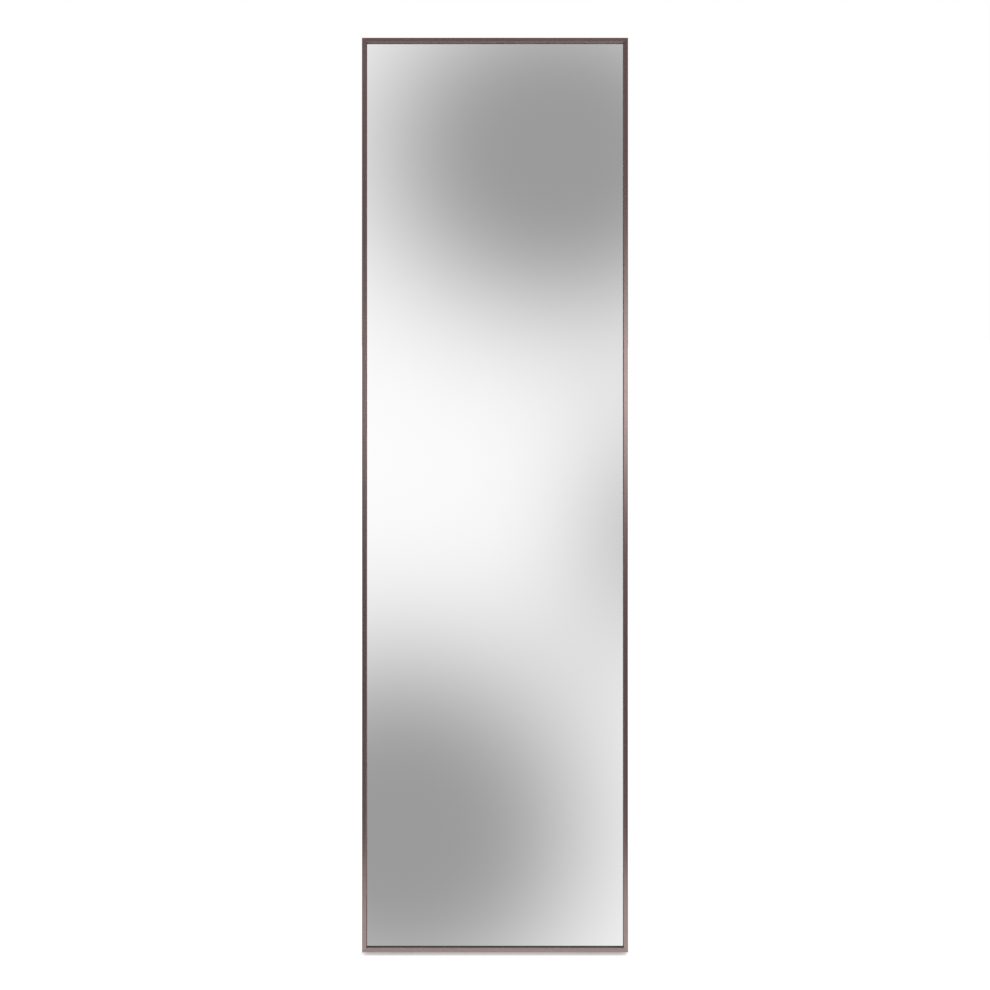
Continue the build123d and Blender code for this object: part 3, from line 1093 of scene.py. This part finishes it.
@dataclass
class LockNut:
    """A hexagon nut with a collar that holds a nylon ring, made upright on its seat."""

    across: float = 0.010
    height: float = 0.005
    hexagon_height: float = 0.0036
    collar_radius: float = 0.0043
    ring_radius: float = 0.0038
    hole_radius: float = 0.00305
    hole_depth: float = 0.0010
    corner: float = 0.0008
    collar_round: float = 0.0004
    seam: float = 0.0002

    def build(self, name: str) -> bpy.types.Object:
        """Makes the hexagon, its chamfered corners, the collar and the hole.

        Args:
            name: the piece's name.

        Returns:
            The nut.
        """
        Bench.clear()
        bpy.ops.mesh.primitive_cylinder_add(
            vertices=6,
            radius=self.across / 2 / math.cos(math.pi / 6),
            depth=self.hexagon_height,
            location=(0.0, 0.0, self.hexagon_height / 2),
        )
        hexagon = bpy.context.view_layer.objects.active
        bpy.ops.object.transform_apply(location=True, rotation=True, scale=True)
        bpy.ops.object.mode_set(mode="EDIT")
        bpy.ops.mesh.select_all(action="SELECT")
        bpy.ops.mesh.bevel(offset=self.corner, segments=2, affect="VERTICES")
        Bench.finish_mesh(hexagon, 30.0)

        Bench.clear()
        low = self.hexagon_height - self.seam
        bpy.ops.mesh.primitive_cylinder_add(
            vertices=32,
            radius=self.collar_radius,
            depth=self.height - low,
            location=(0.0, 0.0, (self.height + low) / 2),
        )
        collar = bpy.context.view_layer.objects.active
        bpy.ops.object.transform_apply(location=True, rotation=True, scale=True)
        top = self.height
        Bench.pick(Pick.EDGES, lambda start, end: start.z > top - CLOSE and end.z > top - CLOSE)
        bpy.ops.mesh.bevel(offset=self.collar_round, segments=3, profile=0.5, affect="EDGES")
        Bench.pick(Pick.FACES, lambda middle, normal: normal.z > 0.99 and middle.z > top - CLOSE)
        bpy.ops.mesh.inset(thickness=self.collar_radius - self.collar_round - self.ring_radius)
        Bench.extrude((0.0, 0.0, -self.seam))
        bpy.ops.mesh.inset(thickness=self.ring_radius - self.hole_radius)
        Bench.extrude((0.0, 0.0, -self.hole_depth))
        Bench.finish_mesh(collar, 30.0)

        nut = Bench.join([hexagon, collar], name)
        nut.data.materials.clear()
        nut.data.materials.append(ZINC.material())
        nut.data.materials.append(WHITE_NYLON.material())
        for face in nut.data.polygons:
            inside = face.center.xy.length < self.ring_radius
            face.material_index = 1 if inside and face.center.z > low + 1e-5 else 0
        return nut


@dataclass
class RailFrame:
    """The four mitred rails of brushed bronze."""

    soft_edge: float = 0.00022
    grains: dict[str, Grain] = field(
        default_factory=lambda: {
            "rail_top": Grain.LEVEL,
            "rail_bottom": Grain.LEVEL,
            "rail_left": Grain.UPRIGHT,
            "rail_right": Grain.UPRIGHT,
        }
    )

    def build(self) -> None:
        """Softens each rail's edges and mitres, and brushes it along its length."""
        for node, grain in self.grains.items():
            rail = Bench.cad_copy(node, f"brushed_{node}", self.soft_edge)
            self._unfold(rail)
            finish = BRONZE_LEVEL if grain is Grain.LEVEL else BRONZE_UPRIGHT
            adopt(rail, "mirror", finish)

    def _unfold(self, rail: bpy.types.Object) -> None:
        """Lays out a rail's own map, which its brushed gloss follows.

        Args:
            rail: the rail.
        """
        Bench.take(rail)
        bpy.ops.object.mode_set(mode="EDIT")
        bpy.ops.mesh.select_all(action="SELECT")
        bpy.ops.uv.cube_project(cube_size=1.0)
        bpy.ops.object.mode_set(mode="OBJECT")


@dataclass
class GlassPack:
    """The mirror glass, a thin black strip round it that is painted shade along the rails' inner
    walls, and the layers and clips behind it.
    """

    soft_edge: float = 0.00015
    board_edge: float = 0.0004
    clip_edge: float = 0.00012
    opening: tuple[float, float] = (0.464, 1.634)
    glass_depth: float = 0.010
    # Size of the black strip that is painted shade along the rails' inner walls.
    gasket_width: float = 0.0004
    gasket_height: float = 0.0062
    gasket_round: float = 0.00025

    def build(self) -> None:
        """Finishes the glass face by face, and dresses the layers behind it."""
        glass = Bench.cad_copy("mirror_glass", "silvered_mirror_glass", self.soft_edge, 1)
        finishes = (SILVER, GLASS_EDGE, BACK_PAINT)
        glass.data.materials.clear()
        for finish in finishes:
            glass.data.materials.append(finish.material())
        for face in glass.data.polygons:
            facing = face.normal.dot(MIRROR.out)
            face.material_index = 0 if facing > 0.99 else 2 if facing < -0.99 else 1
        adopt(glass, "mirror", None)
        self._gasket()
        dress("safety_film", BACK_FILM)
        dress("foam_sheet", FOAM)
        board = Bench.cad_copy("backing_board", "hardboard_back", self.board_edge)
        adopt(board, "mirror", HARDBOARD)
        clips = Bench.cad_copy("spring_clips", "bowed_spring_clips", self.clip_edge, 1)
        adopt(clips, "mirror", BLUED)

    def _gasket(self) -> None:
        """Makes the black strip that lies on the glass along the inside of the rails, as painted
        shade in the frame's recess.
        """
        Bench.clear()
        bpy.ops.mesh.primitive_plane_add(size=1.0, location=(0.0, 0.0, 0.0))
        shade_strip_piece = bpy.context.view_layer.objects.active
        shade_strip_piece.name = "glazing_gasket"
        shade_strip_piece.scale = (*self.opening, 1.0)
        bpy.ops.object.transform_apply(location=True, rotation=True, scale=True)
        Bench.pick(Pick.FACES, lambda middle, normal: True)
        bpy.ops.mesh.inset(thickness=self.gasket_width)
        bpy.ops.mesh.delete(type="FACE")
        bpy.ops.mesh.select_all(action="SELECT")
        Bench.extrude((0.0, 0.0, self.gasket_height))
        width, height = (size / 2 - self.gasket_width for size in self.opening)
        Bench.pick(
            Pick.EDGES,
            lambda start, end: min(start.z, end.z) > self.gasket_height - CLOSE
            and max(abs(start.x), abs(end.x)) < width + 1e-5
            and max(abs(start.y), abs(end.y)) < height + 1e-5,
        )
        bpy.ops.mesh.bevel(offset=self.gasket_round, segments=3, affect="EDGES")
        Bench.finish_mesh(shade_strip_piece)
        Bench.place(shade_strip_piece, MIRROR.point(0.0, MIRROR.height / 2, self.glass_depth), MIRROR.out)
        adopt(shade_strip_piece, "mirror", BLACK_SHADE_STRIP)


@dataclass
class CornerJoints:
    """Corner keys, shims and set screws in the rails' rear channels."""

    channel_middle: float = 0.0076
    screw_place: float = 0.025
    screw_rear: float = 0.0286
    screw: SetScrew = field(default_factory=SetScrew)

    def build(self) -> None:
        """Dresses the keys and shims, and puts a set screw in each of their arms."""
        for end in ("top", "bottom"):
            for side in Side:
                key = f"corner_key_{end}_{side.word}"
                copy = Bench.cad_copy(key, f"cut_{key}", FINE_EDGE)
                adopt(copy, "mirror", ZINC)
                dress(f"corner_shim_{end}_{side.word}", ZINC)
        pattern = self.screw.build("set_screw")
        screws = []
        for number, spot in enumerate(self._spots()):
            screw = Bench.repeat(pattern, f"set_screw_{number}")
            Bench.place(screw, spot, -MIRROR.out)
            screws.append(screw)
        Bench.drop(pattern)
        joined = Bench.join(screws, "socket_set_screws")
        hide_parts("corner_set_screws")
        adopt(joined, "mirror", ZINC)

    def _spots(self) -> list[Vector]:
        """Finds where the set screws' rims are, two at each corner.

        Returns:
            The places.
        """
        spots = []
        for side in Side:
            for end in (0.0, MIRROR.height):
                towards = 1.0 if end == 0.0 else -1.0
                for inwards, along in (
                    (self.channel_middle, self.screw_place),
                    (self.screw_place, self.channel_middle),
                ):
                    across = side.value * (MIRROR.width / 2 - inwards)
                    spots.append(MIRROR.point(across, end + towards * along, self.screw_rear))
        return spots


@dataclass
class ClampScrews:
    """Screws that clamp a plate of each side onto the rails' channels."""

    node: str
    up: float
    spacing: float
    plate: float
    screw: StarScrew
    across: float = 0.2324

    def build(self) -> None:
        """Makes one screw, copies it to each hole, and joins the copies."""
        pattern = self.screw.build("clamp_screw")
        screws = []
        for side in Side:
            for step in (-0.5, 0.5):
                screw = Bench.repeat(pattern, f"clamp_screw_{len(screws)}")
                spot = MIRROR.point(
                    side.value * self.across,
                    self.up + step * self.spacing,
                    MIRROR.thickness + self.plate,
                )
                Bench.place(screw, spot, -MIRROR.out)
                screws.append(screw)
        Bench.drop(pattern)
        joined = Bench.join(screws, f"star_{self.node}")
        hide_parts(self.node)
        adopt(joined, "mirror", ZINC)


@dataclass
class HingeBrackets:
    """Brackets on the side rails that carry the stand's pivots."""

    pivot_up: float = 1.010
    cheek_outer: float = 0.0128
    soft_edge: float = 0.0004
    bolt: StarScrew = field(
        default_factory=lambda: StarScrew(
            head_radius=0.0060,
            head_height=0.0026,
            crown=0.0016,
            shank_radius=0.0030,
            shank_length=0.0321,
            recess_radius=0.0023,
            recess_depth=0.0016,
            thread_pitch=0.0010,
            thread_length=0.0060,
        )
    )
    nut: LockNut = field(default_factory=LockNut)

    def build(self) -> None:
        """Makes both brackets, their pivots and their screws."""
        for side in Side:
            bracket = Bench.cad_copy(
                f"bracket_{side.word}", f"coated_bracket_{side.word}", self.soft_edge, 3
            )
            adopt(bracket, "mirror", POWDER)
            washers = Bench.cad_copy(
                f"pivot_washers_{side.word}", f"rounded_washers_{side.word}", FINE_EDGE
            )
            adopt(washers, "mirror", ZINC)
            plate = f"bracket_nut_plate_{side.word}"
            cut = Bench.cad_copy(plate, f"cut_{plate}", FINE_EDGE)
            adopt(cut, "mirror", ZINC)
            self._pivot(side)
        ClampScrews(
            node="bracket_screws",
            up=self.pivot_up,
            spacing=0.036,
            plate=0.0025,
            screw=StarScrew(shank_length=0.0069),
        ).build()

    def _pivot(self, side: Side) -> None:
        """Makes one pivot's bolt and lock nut.

        Args:
            side: which pivot.
        """
        outward = Vector((float(side.value), 0.0, 0.0))
        head = STAND.point(side.value * (STAND.leg_across + self.cheek_outer), 0.0)
        bolt = self.bolt.build(f"star_pivot_bolt_{side.word}")
        Bench.place(bolt, head, outward)
        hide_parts(f"pivot_bolt_{side.word}")
        adopt(bolt, "mirror", ZINC)
        nut = self.nut.build(f"collared_lock_nut_{side.word}")
        Bench.place(nut, head - outward * 2 * self.cheek_outer, -outward)
        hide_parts(f"lock_nut_{side.word}")
        adopt(nut, "mirror", None)


@dataclass
class WallHangers:
    """Keyhole plates on the side rails."""

    up: float = 1.430
    soft_edge: float = 0.00025

    def build(self) -> None:
        """Softens the plates' stamped edges and makes their screws."""
        for side in Side:
            plate = Bench.cad_copy(
                f"hanger_{side.word}", f"stamped_hanger_{side.word}", self.soft_edge
            )
            adopt(plate, "mirror", ZINC)
            nut_plate = f"hanger_nut_plate_{side.word}"
            cut = Bench.cad_copy(nut_plate, f"cut_{nut_plate}", FINE_EDGE)
            adopt(cut, "mirror", ZINC)
        ClampScrews(
            node="hanger_screws",
            up=self.up,
            spacing=0.026,
            plate=0.0015,
            screw=StarScrew(shank_length=0.0059),
        ).build()


@dataclass
class FloorPads:
    """Rubber pads pushed into the bottom rail."""

    soft_edge: float = 0.0004

    def build(self) -> None:
        """Softens the pads and gives them their rubber."""
        for side in Side:
            pad = Bench.cad_copy(
                f"floor_pad_{side.word}", f"soft_floor_pad_{side.word}", self.soft_edge
            )
            adopt(pad, "mirror", RUBBER)


@dataclass
class RibbedTip:
    """A ribbed rubber tip, turned about its leg and cut level with the floor."""

    flare: float = 0.0122
    flare_height: float = 0.005
    sleeve: float = 0.0102
    height: float = 0.036
    rim: float = 0.0015
    bore: float = 0.00805
    sole: float = 0.006
    rib_pitch: float = 0.0036
    rib_depth: float = 0.0006
    ribs: int = 5
    first_rib: float = 0.003
    groove: tuple[float, float, float] = (0.0004, 0.0014, 0.0018)

    def profile(self) -> list[tuple[float, float]]:
        """Lists the rings of the tip, from the sole up to the rim and down the bore.

        Returns:
            Radius and height of each ring.
        """
        rings = [
            (self.flare, -self.flare),
            (self.flare, self.flare_height - 0.0006),
            (self.flare - 0.0004, self.flare_height),
            (self.sleeve + 0.0003, 2 * self.flare_height - 0.0004),
            (self.sleeve, 2 * self.flare_height + 0.0006),
        ]
        start = 2 * self.flare_height + self.first_rib
        down, up, end = self.groove
        for number in range(self.ribs):
            low = start + number * self.rib_pitch
            rings += [
                (self.sleeve, low),
                (self.sleeve - self.rib_depth, low + down),
                (self.sleeve - self.rib_depth, low + up),
                (self.sleeve, low + end),
            ]
        rings += [
            (self.sleeve, self.height - self.rim),
            (self.sleeve - 0.3 * self.rim, self.height - 0.3 * self.rim),
            (self.sleeve - self.rim, self.height),
            (self.bore, self.height),
            (self.bore, self.sole),
        ]
        return rings

    def build(self, name: str) -> bpy.types.Object:
        """Draws the rings up from the sole, and turns the rim down into the bore.

        Args:
            name: the piece's name.

        Returns:
            The tip, upright, with the floor at 0 on its axis.
        """
        Bench.clear()
        rings = self.profile()
        radius, height = rings[0]
        bpy.ops.mesh.primitive_circle_add(
            vertices=48, radius=radius, fill_type="NGON", location=(0.0, 0.0, height)
        )
        tip = bpy.context.view_layer.objects.active
        tip.name = name
        bpy.ops.object.transform_apply(location=True, rotation=True, scale=True)
        Bench.pick(Pick.FACES, lambda middle, normal: True)
        for next_radius, next_height in rings[1:]:
            Bench.extrude((0.0, 0.0, next_height - height), next_radius / radius, next_height)
            radius, height = next_radius, next_height
        Bench.finish_mesh(tip, 30.0)
        return tip


@dataclass
class WeldBead:
    """The bead round a cross bar's end, bent to the leg tube's round side."""

    bar_radius: float = 0.0062
    thickness: float = 0.0009
    leg_radius: float = 0.0080
    ripples: int = 22
    ripple_depth: float = 0.16
    sunk: float = 0.0001

    def build(self, name: str, side: Side, along: float) -> bpy.types.Object:
        """Makes one bead where a bar meets a leg.

        Args:
            name: the piece's name.
            side: which leg.
            along: the bar's place up the leg from the pivot.

        Returns:
            The bead in its place.
        """
        Bench.clear()
        bpy.ops.mesh.primitive_torus_add(
            major_segments=88,
            minor_segments=8,
            major_radius=self.bar_radius,
            minor_radius=self.thickness,
            rotation=(0.0, math.pi / 2, 0.0),
        )
        bead = bpy.context.view_layer.objects.active
        bead.name = name
        bpy.ops.object.transform_apply(location=True, rotation=True, scale=True)
        for point in bead.data.vertices:
            turn = math.atan2(point.co.z, point.co.y)
            swell = 1.0 + self.ripple_depth * math.cos(self.ripples * turn)
            spread = point.co.yz.length
            ring = Vector((0.0, point.co.y, point.co.z)) * (self.bar_radius / spread)
            point.co = ring + (point.co - ring) * swell
            inset = math.sqrt(self.leg_radius**2 - point.co.y**2)
            point.co.x = -side.value * (abs(inset) - self.sunk) + point.co.x
        bead.matrix_world = Matrix.Translation(
            STAND.point(side.value * STAND.leg_across, along)
        ) @ Matrix.Rotation(STAND.slope, 4, "X")
        bpy.ops.object.transform_apply(location=True, rotation=True, scale=True)
        Bench.finish_mesh(bead, 60.0)
        return bead


@dataclass
class FoldingStand:
    """The stand that swings out of the back: legs, cross bars, welds, plugs and tips."""

    upper_bar: float = -0.130
    lower_bar: float = 0.110
    tube_edge: float = 0.0002
    plug_edge: float = 0.0006
    tip: RibbedTip = field(default_factory=RibbedTip)
    weld: WeldBead = field(default_factory=WeldBead)

    def build(self) -> None:
        """Makes both legs and what joins them."""
        for side in Side:
            self._leg(side)
        for node in ("cross_bar_upper", "cross_bar_lower"):
            bar = Bench.cad_copy(node, f"coated_{node}", FINE_EDGE)
            adopt(bar, "stand", POWDER)
        beads = []
        for side in Side:
            for word, along in (("upper", self.upper_bar), ("lower", self.lower_bar - STAND.reach)):
                beads.append(self.weld.build(f"weld_{word}_{side.word}", side, along))
        adopt(Bench.join(beads, "weld_beads"), "stand", POWDER)

    def _leg(self, side: Side) -> None:
        """Makes one leg: its tube, bush, top plug and ribbed tip.

        Args:
            side: which leg.
        """
        tube = Bench.cad_copy(f"leg_tube_{side.word}", f"coated_leg_{side.word}", self.tube_edge)
        adopt(tube, "stand", POWDER)
        bush = Bench.cad_copy(f"pivot_bush_{side.word}", f"flanged_bush_{side.word}", FINE_EDGE)
        adopt(bush, "stand", NYLON)
        plug = Bench.cad_copy(f"leg_plug_{side.word}", f"moulded_plug_{side.word}", self.plug_edge, 3)
        adopt(plug, "stand", NYLON)
        tip = self.tip.build(f"ribbed_tip_{side.word}")
        Bench.place(tip, STAND.point(side.value * STAND.leg_across, -STAND.reach), STAND.up)
        bpy.ops.object.mode_set(mode="EDIT")
        bpy.ops.mesh.select_all(action="SELECT")
        bpy.ops.mesh.bisect(
            plane_co=(0.0, 0.0, 0.0), plane_no=(0.0, 0.0, 1.0), use_fill=True, clear_inner=True
        )
        bpy.ops.object.mode_set(mode="OBJECT")
        Bench.finish_mesh(tip, 30.0)
        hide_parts(f"leg_tip_{side.word}")
        adopt(tip, "stand", RUBBER)


@dataclass(frozen=True)
class Pool:
    """A soft grey pool in the room that the mirror shows.

    Across and up are slopes away from the mirror's own outward direction.
    """

    across: float
    up: float
    width: float
    height: float
    turn: float
    depth: float


class Room:
    """Nodes of the room that surrounds the mirror, as the world's colour."""

    def __init__(self, world: bpy.types.World) -> None:
        """Starts an empty room.

        Args:
            world: the world that shows it.
        """
        world.use_nodes = True
        self.tree = world.node_tree
        self.tree.nodes.clear()

    def add(self, kind: str, inputs: dict, **settings: object) -> bpy.types.NodeSocket | None:
        """Adds a node.

        Args:
            kind: the node's type.
            inputs: value or source of each input, by its name or number.
            settings: the node's own settings.

        Returns:
            The node's first output, or None where it has none.
        """
        node = self.tree.nodes.new(kind)
        for setting, value in settings.items():
            setattr(node, setting, value)
        for key, value in inputs.items():
            if isinstance(value, bpy.types.NodeSocket):
                self.tree.links.new(value, node.inputs[key])
            else:
                node.inputs[key].default_value = value
        return node.outputs[0] if node.outputs else None

    def maths(self, operation: str, first: object, second: object = 0.0) -> bpy.types.NodeSocket:
        """Works out a sum, a product or the like.

        Args:
            operation: what is done with the values.
            first: the first value or its source.
            second: the second one.

        Returns:
            The result.
        """
        return self.add("ShaderNodeMath", {0: first, 1: second}, operation=operation)

    def step(
        self, value: bpy.types.NodeSocket, start: float, end: float, low: float, high: float
    ) -> bpy.types.NodeSocket:
        """A smooth change from one level to another.

        Args:
            value: what the level depends on.
            start: value at which the change starts.
            end: value at which it ends.
            low: level before the change.
            high: level after it.

        Returns:
            The level.
        """
        return self.add(
            "ShaderNodeMapRange",
            {"Value": value, "From Min": start, "From Max": end, "To Min": low, "To Max": high},
            interpolation_type="SMOOTHSTEP",
        )

    def glow(self, slopes: bpy.types.NodeSocket, pool: Pool) -> bpy.types.NodeSocket:
        """A soft round patch, 1 times its depth in the middle.

        Args:
            slopes: slopes across and up.
            pool: the patch's place, size and depth.

        Returns:
            The patch.
        """
        near = self.add(
            "ShaderNodeMapping",
            {
                "Vector": slopes,
                "Location": (pool.across, pool.up, 0.0),
                "Rotation": (0.0, 0.0, pool.turn),
                "Scale": (pool.width, pool.height, 1.0),
            },
            vector_type="TEXTURE",
        )
        node = self.tree.nodes.new("ShaderNodeVectorMath")
        node.operation = "DOT_PRODUCT"
        self.tree.links.new(near, node.inputs[0])
        self.tree.links.new(near, node.inputs[1])
        fade = self.maths("EXPONENT", self.maths("MULTIPLY", node.outputs["Value"], -0.5))
        return self.maths("MULTIPLY", fade, pool.depth)


@dataclass
class Studio:
    """Floor, room, lamps and camera.

    Attributes:
        glass_centre: point of the glass that the camera looks at.
        distance: from that point to the camera.
        lens: the camera's focal length in millimetres.
        ambient: what matt surfaces get from all around.
        wall: brightness of the wall that satin metal shows.
        wall_overhead: its brightness straight up.
        wall_behind: what it has more behind the mirror.
        wall_tint: the dim wall's colour.
        tinted: brightness at which the wall's colour starts to fade, and ends.
        floor_glow: the floor's brightness in satin metal, behind the mirror and before it.
        floor_edge: slopes between which the floor meets the wall.
        floor_near: brightness of the floor at the mirror.
        floor_far: its brightness at some distance.
        grey: brightness of the darkest pool in the glass.
        view_across: slopes across at which the pools' surroundings start, and take over.
        view_up: the same slopes upwards.
        around: brightness of those surroundings, low down and high up.
        pools: grey pools that the glass shows.
        panels: soft lit panels that satin metal shows.
        near_floor: the bright floor just before the mirror.
    """

    glass_centre: Vector = Vector((0.0, -0.0368, 0.8202))
    distance: float = 4.0
    lens: float = 80.43
    ambient: float = 0.62
    wall: float = 0.12
    wall_overhead: float = 1.1
    wall_behind: float = 0.16
    wall_tint: Colour = (1.04, 0.74, 0.80)
    tinted: tuple[float, float] = (0.15, 0.7)
    floor_glow: tuple[float, float] = (0.42, 0.90)
    floor_edge: tuple[float, float] = (-0.022, -0.002)
    floor_near: float = 0.36
    floor_far: float = 0.90
    grey: float = 0.33
    view_across: tuple[float, float] = (0.060, 0.075)
    view_up: tuple[float, float] = (0.210, 0.240)
    around: tuple[float, float] = (0.92, 0.50)
    pools: tuple[Pool, ...] = (
        Pool(0.028, 0.156, 0.072, 0.063, 0.0, 1.0),
        Pool(0.074, -0.016, 0.037, 0.045, 0.0, 0.5),
        Pool(-0.043, -0.153, 0.073, 0.070, 0.0, 1.0),
    )
    panels: tuple[Pool, ...] = (
        Pool(0.21, 0.049, 0.10, 0.033, 0.0, 3.6),
        Pool(-0.25, 0.200, 0.13, 0.045, 0.0, 0.35),
    )
    near_floor: Pool = Pool(0.0, -0.34, 0.30, 0.055, 0.0, 1.0)

    def build(self) -> None:
        """Sets up the room, the floor, the lamps and the camera."""
        bpy.context.scene.view_settings.view_transform = "Standard"
        self._room()
        self._floor()
        self._lamp("key", (-1.9, -2.4, 2.9), 3.0, 62.0)
        self._lamp("fill", (2.2, -1.7, 2.0), 2.6, 30.0)
        self._lamp("back", (0.9, 2.7, 2.6), 2.8, 50.0)
        self._camera()
        log.info("studio ready")

    def _room(self) -> None:
        """Sets what each kind of ray finds beyond the floor.

        The camera finds white and matt surfaces a plain light. The mirror finds soft grey
        pools, and satin metal a dim wall with soft panels and the pale floor below it.
        """
        world = bpy.data.worlds.new("studio_room")
        bpy.context.scene.world = world
        world.cycles.sampling_method = "NONE"
        room = Room(world)
        coordinates = room.tree.nodes.new("ShaderNodeTexCoord").outputs["Generated"]
        turned = room.add(
            "ShaderNodeMapping", {"Vector": coordinates, "Rotation": (MIRROR.lean, 0.0, 0.0)}
        )
        parts = room.tree.nodes.new("ShaderNodeSeparateXYZ")
        room.tree.links.new(turned, parts.inputs[0])
        level = room.tree.nodes.new("ShaderNodeSeparateXYZ")
        room.tree.links.new(coordinates, level.inputs[0])
        forward = room.maths("MAXIMUM", room.maths("MULTIPLY", parts.outputs[1], -1.0), 0.05)
        across = room.maths("DIVIDE", parts.outputs[0], forward)
        up = room.maths("DIVIDE", parts.outputs[2], forward)
        slopes = room.add("ShaderNodeCombineXYZ", {0: across, 1: up})

        shade = 0.0
        for pool in self.pools:
            shade = room.maths("ADD", shade, room.glow(slopes, pool))
        glass = room.step(shade, 0.0, 1.0, 1.0, self.grey)

        front = room.step(parts.outputs[1], -0.5, -0.3, 1.0, 0.0)
        walls = room.step(level.outputs[2], 0.45, 1.0, self.wall, self.wall_overhead)
        walls = room.maths("ADD", walls, room.step(front, 0.0, 1.0, self.wall_behind, 0.0))
        for panel in self.panels:
            patch = room.maths("MULTIPLY", room.glow(slopes, panel), front)
            walls = room.maths("ADD", walls, patch)
        above = room.step(level.outputs[2], *self.floor_edge, 0.0, 1.0)
        pale = room.maths("MULTIPLY", room.glow(slopes, self.near_floor), front)
        pale = room.maths("ADD", pale, room.step(front, 0.0, 1.0, *self.floor_glow))
        rosy = room.maths("MULTIPLY", room.step(walls, *self.tinted, 1.0, 0.0), above)
        walls = room.add("ShaderNodeMix", {0: above, 2: pale, 3: walls})
        mirrored = room.step(level.outputs[2], -0.25, 0.75, *self.around)
        inside = room.maths(
            "MULTIPLY",
            room.step(room.maths("ABSOLUTE", across), *self.view_across, 1.0, 0.0),
            room.step(room.maths("ABSOLUTE", up), *self.view_up, 1.0, 0.0),
        )
        inside = room.maths("MULTIPLY", inside, front)
        mirrored = room.add("ShaderNodeMix", {0: inside, 2: mirrored, 3: glass})

        path = room.tree.nodes.new("ShaderNodeLightPath")
        shiny = room.add(
            "ShaderNodeMix", {0: path.outputs["Is Singular Ray"], 2: walls, 3: mirrored}
        )
        reflected = room.maths(
            "MAXIMUM", path.outputs["Is Glossy Ray"], path.outputs["Is Transmission Ray"]
        )
        light = room.add("ShaderNodeMix", {0: reflected, 2: self.ambient, 3: shiny})
        light = room.add("ShaderNodeMix", {0: path.outputs["Is Camera Ray"], 2: light, 3: 1.0})
        rosy = room.maths("MULTIPLY", rosy, path.outputs["Is Glossy Ray"])
        rosy = room.maths("SUBTRACT", rosy, path.outputs["Is Singular Ray"])
        tint = [
            room.maths("MULTIPLY", light, room.step(rosy, 0.0, 1.0, 1.0, share))
            for share in self.wall_tint
        ]
        light = room.add("ShaderNodeCombineXYZ", dict(enumerate(tint)))
        background = room.add("ShaderNodeBackground", {"Color": light, "Strength": 1.0})
        room.add("ShaderNodeOutputWorld", {"Surface": background})

    def _floor(self) -> None:
        """A pale floor that looks white and keeps the mirror's soft shadow."""
        Bench.clear()
        bpy.ops.mesh.primitive_plane_add(size=24.0, location=(0.0, 0.0, -0.0003))
        floor = bpy.context.view_layer.objects.active
        floor.name = "studio_floor"
        bpy.ops.object.transform_apply(location=True, rotation=True, scale=True)
        shader = Shader("pale_floor")
        grain = shader.noise(shader.place(), 3.0, 3.0)
        shader.feed(
            "Base Color", shader.ramp(grain, [(0.3, (0.84, 0.84, 0.84)), (0.7, (0.88, 0.88, 0.88))])
        )
        path = shader.add("ShaderNodeLightPath", {})
        middle = shader.add("ShaderNodeTexCoord", {}).outputs["Object"]
        away = shader.add("ShaderNodeVectorMath", {0: middle}, operation="LENGTH").outputs["Value"]
        glow = shader.spread(away, self.floor_near, self.floor_far, 0.6, 2.2)
        shader.feed(
            "Emission Strength", shader.sum(path.outputs["Is Camera Ray"], glow, "MULTIPLY")
        )
        shader.surface.inputs["Emission Color"].default_value = (1.0, 1.0, 1.0, 1.0)
        shader.even({"Roughness": 0.9, "Specular IOR Level": 0.0})
        floor.data.materials.append(shader.material)
        floor.visible_glossy = False

    def _lamp(
        self, name: str, place: tuple[float, float, float], size: float, power: float
    ) -> None:
        """Hangs a large soft lamp that looks at the mirror's middle.

        Args:
            name: the lamp's name.
            place: where it hangs.
            size: length of its sides.
            power: its power in watts.
        """
        Bench.clear()
        data = bpy.data.lights.new(name, "AREA")
        data.shape = "SQUARE"
        data.size = size
        data.energy = power
        lamp = bpy.data.objects.new(name, data)
        bpy.context.scene.collection.objects.link(lamp)
        lamp.location = place
        aim = Vector((0.0, 0.0, 0.8)) - Vector(place)
        lamp.rotation_mode = "QUATERNION"
        lamp.rotation_quaternion = aim.to_track_quat("-Z", "Y")
        lamp.visible_glossy = False
        lamp.visible_camera = False

    def _camera(self) -> None:
        """Puts the camera straight out from the middle of the glass."""
        data = bpy.data.cameras.new("camera")
        data.lens = self.lens
        data.sensor_width = 36.0
        data.clip_start = 0.05
        data.clip_end = 60.0
        camera = bpy.data.objects.new("camera", data)
        bpy.context.scene.collection.objects.link(camera)
        camera.location = self.glass_centre + MIRROR.out * self.distance
        camera.rotation_euler = (math.radians(90.0) - MIRROR.lean, 0.0, 0.0)
        bpy.context.scene.camera = camera


def main() -> None:
    """Builds the mirror's sub-assemblies in order, then the studio."""
    logging.basicConfig(level=logging.INFO, format="%(name)s: %(message)s")
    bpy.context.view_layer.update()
    assemblies = (
        RailFrame(),
        GlassPack(),
        CornerJoints(),
        HingeBrackets(),
        WallHangers(),
        FloorPads(),
        FoldingStand(),
        Studio(),
    )
    for assembly in assemblies:
        log.info("building %s", type(assembly).__name__)
        assembly.build()
    Bench.clear()


if __name__ == "__main__":
    main()
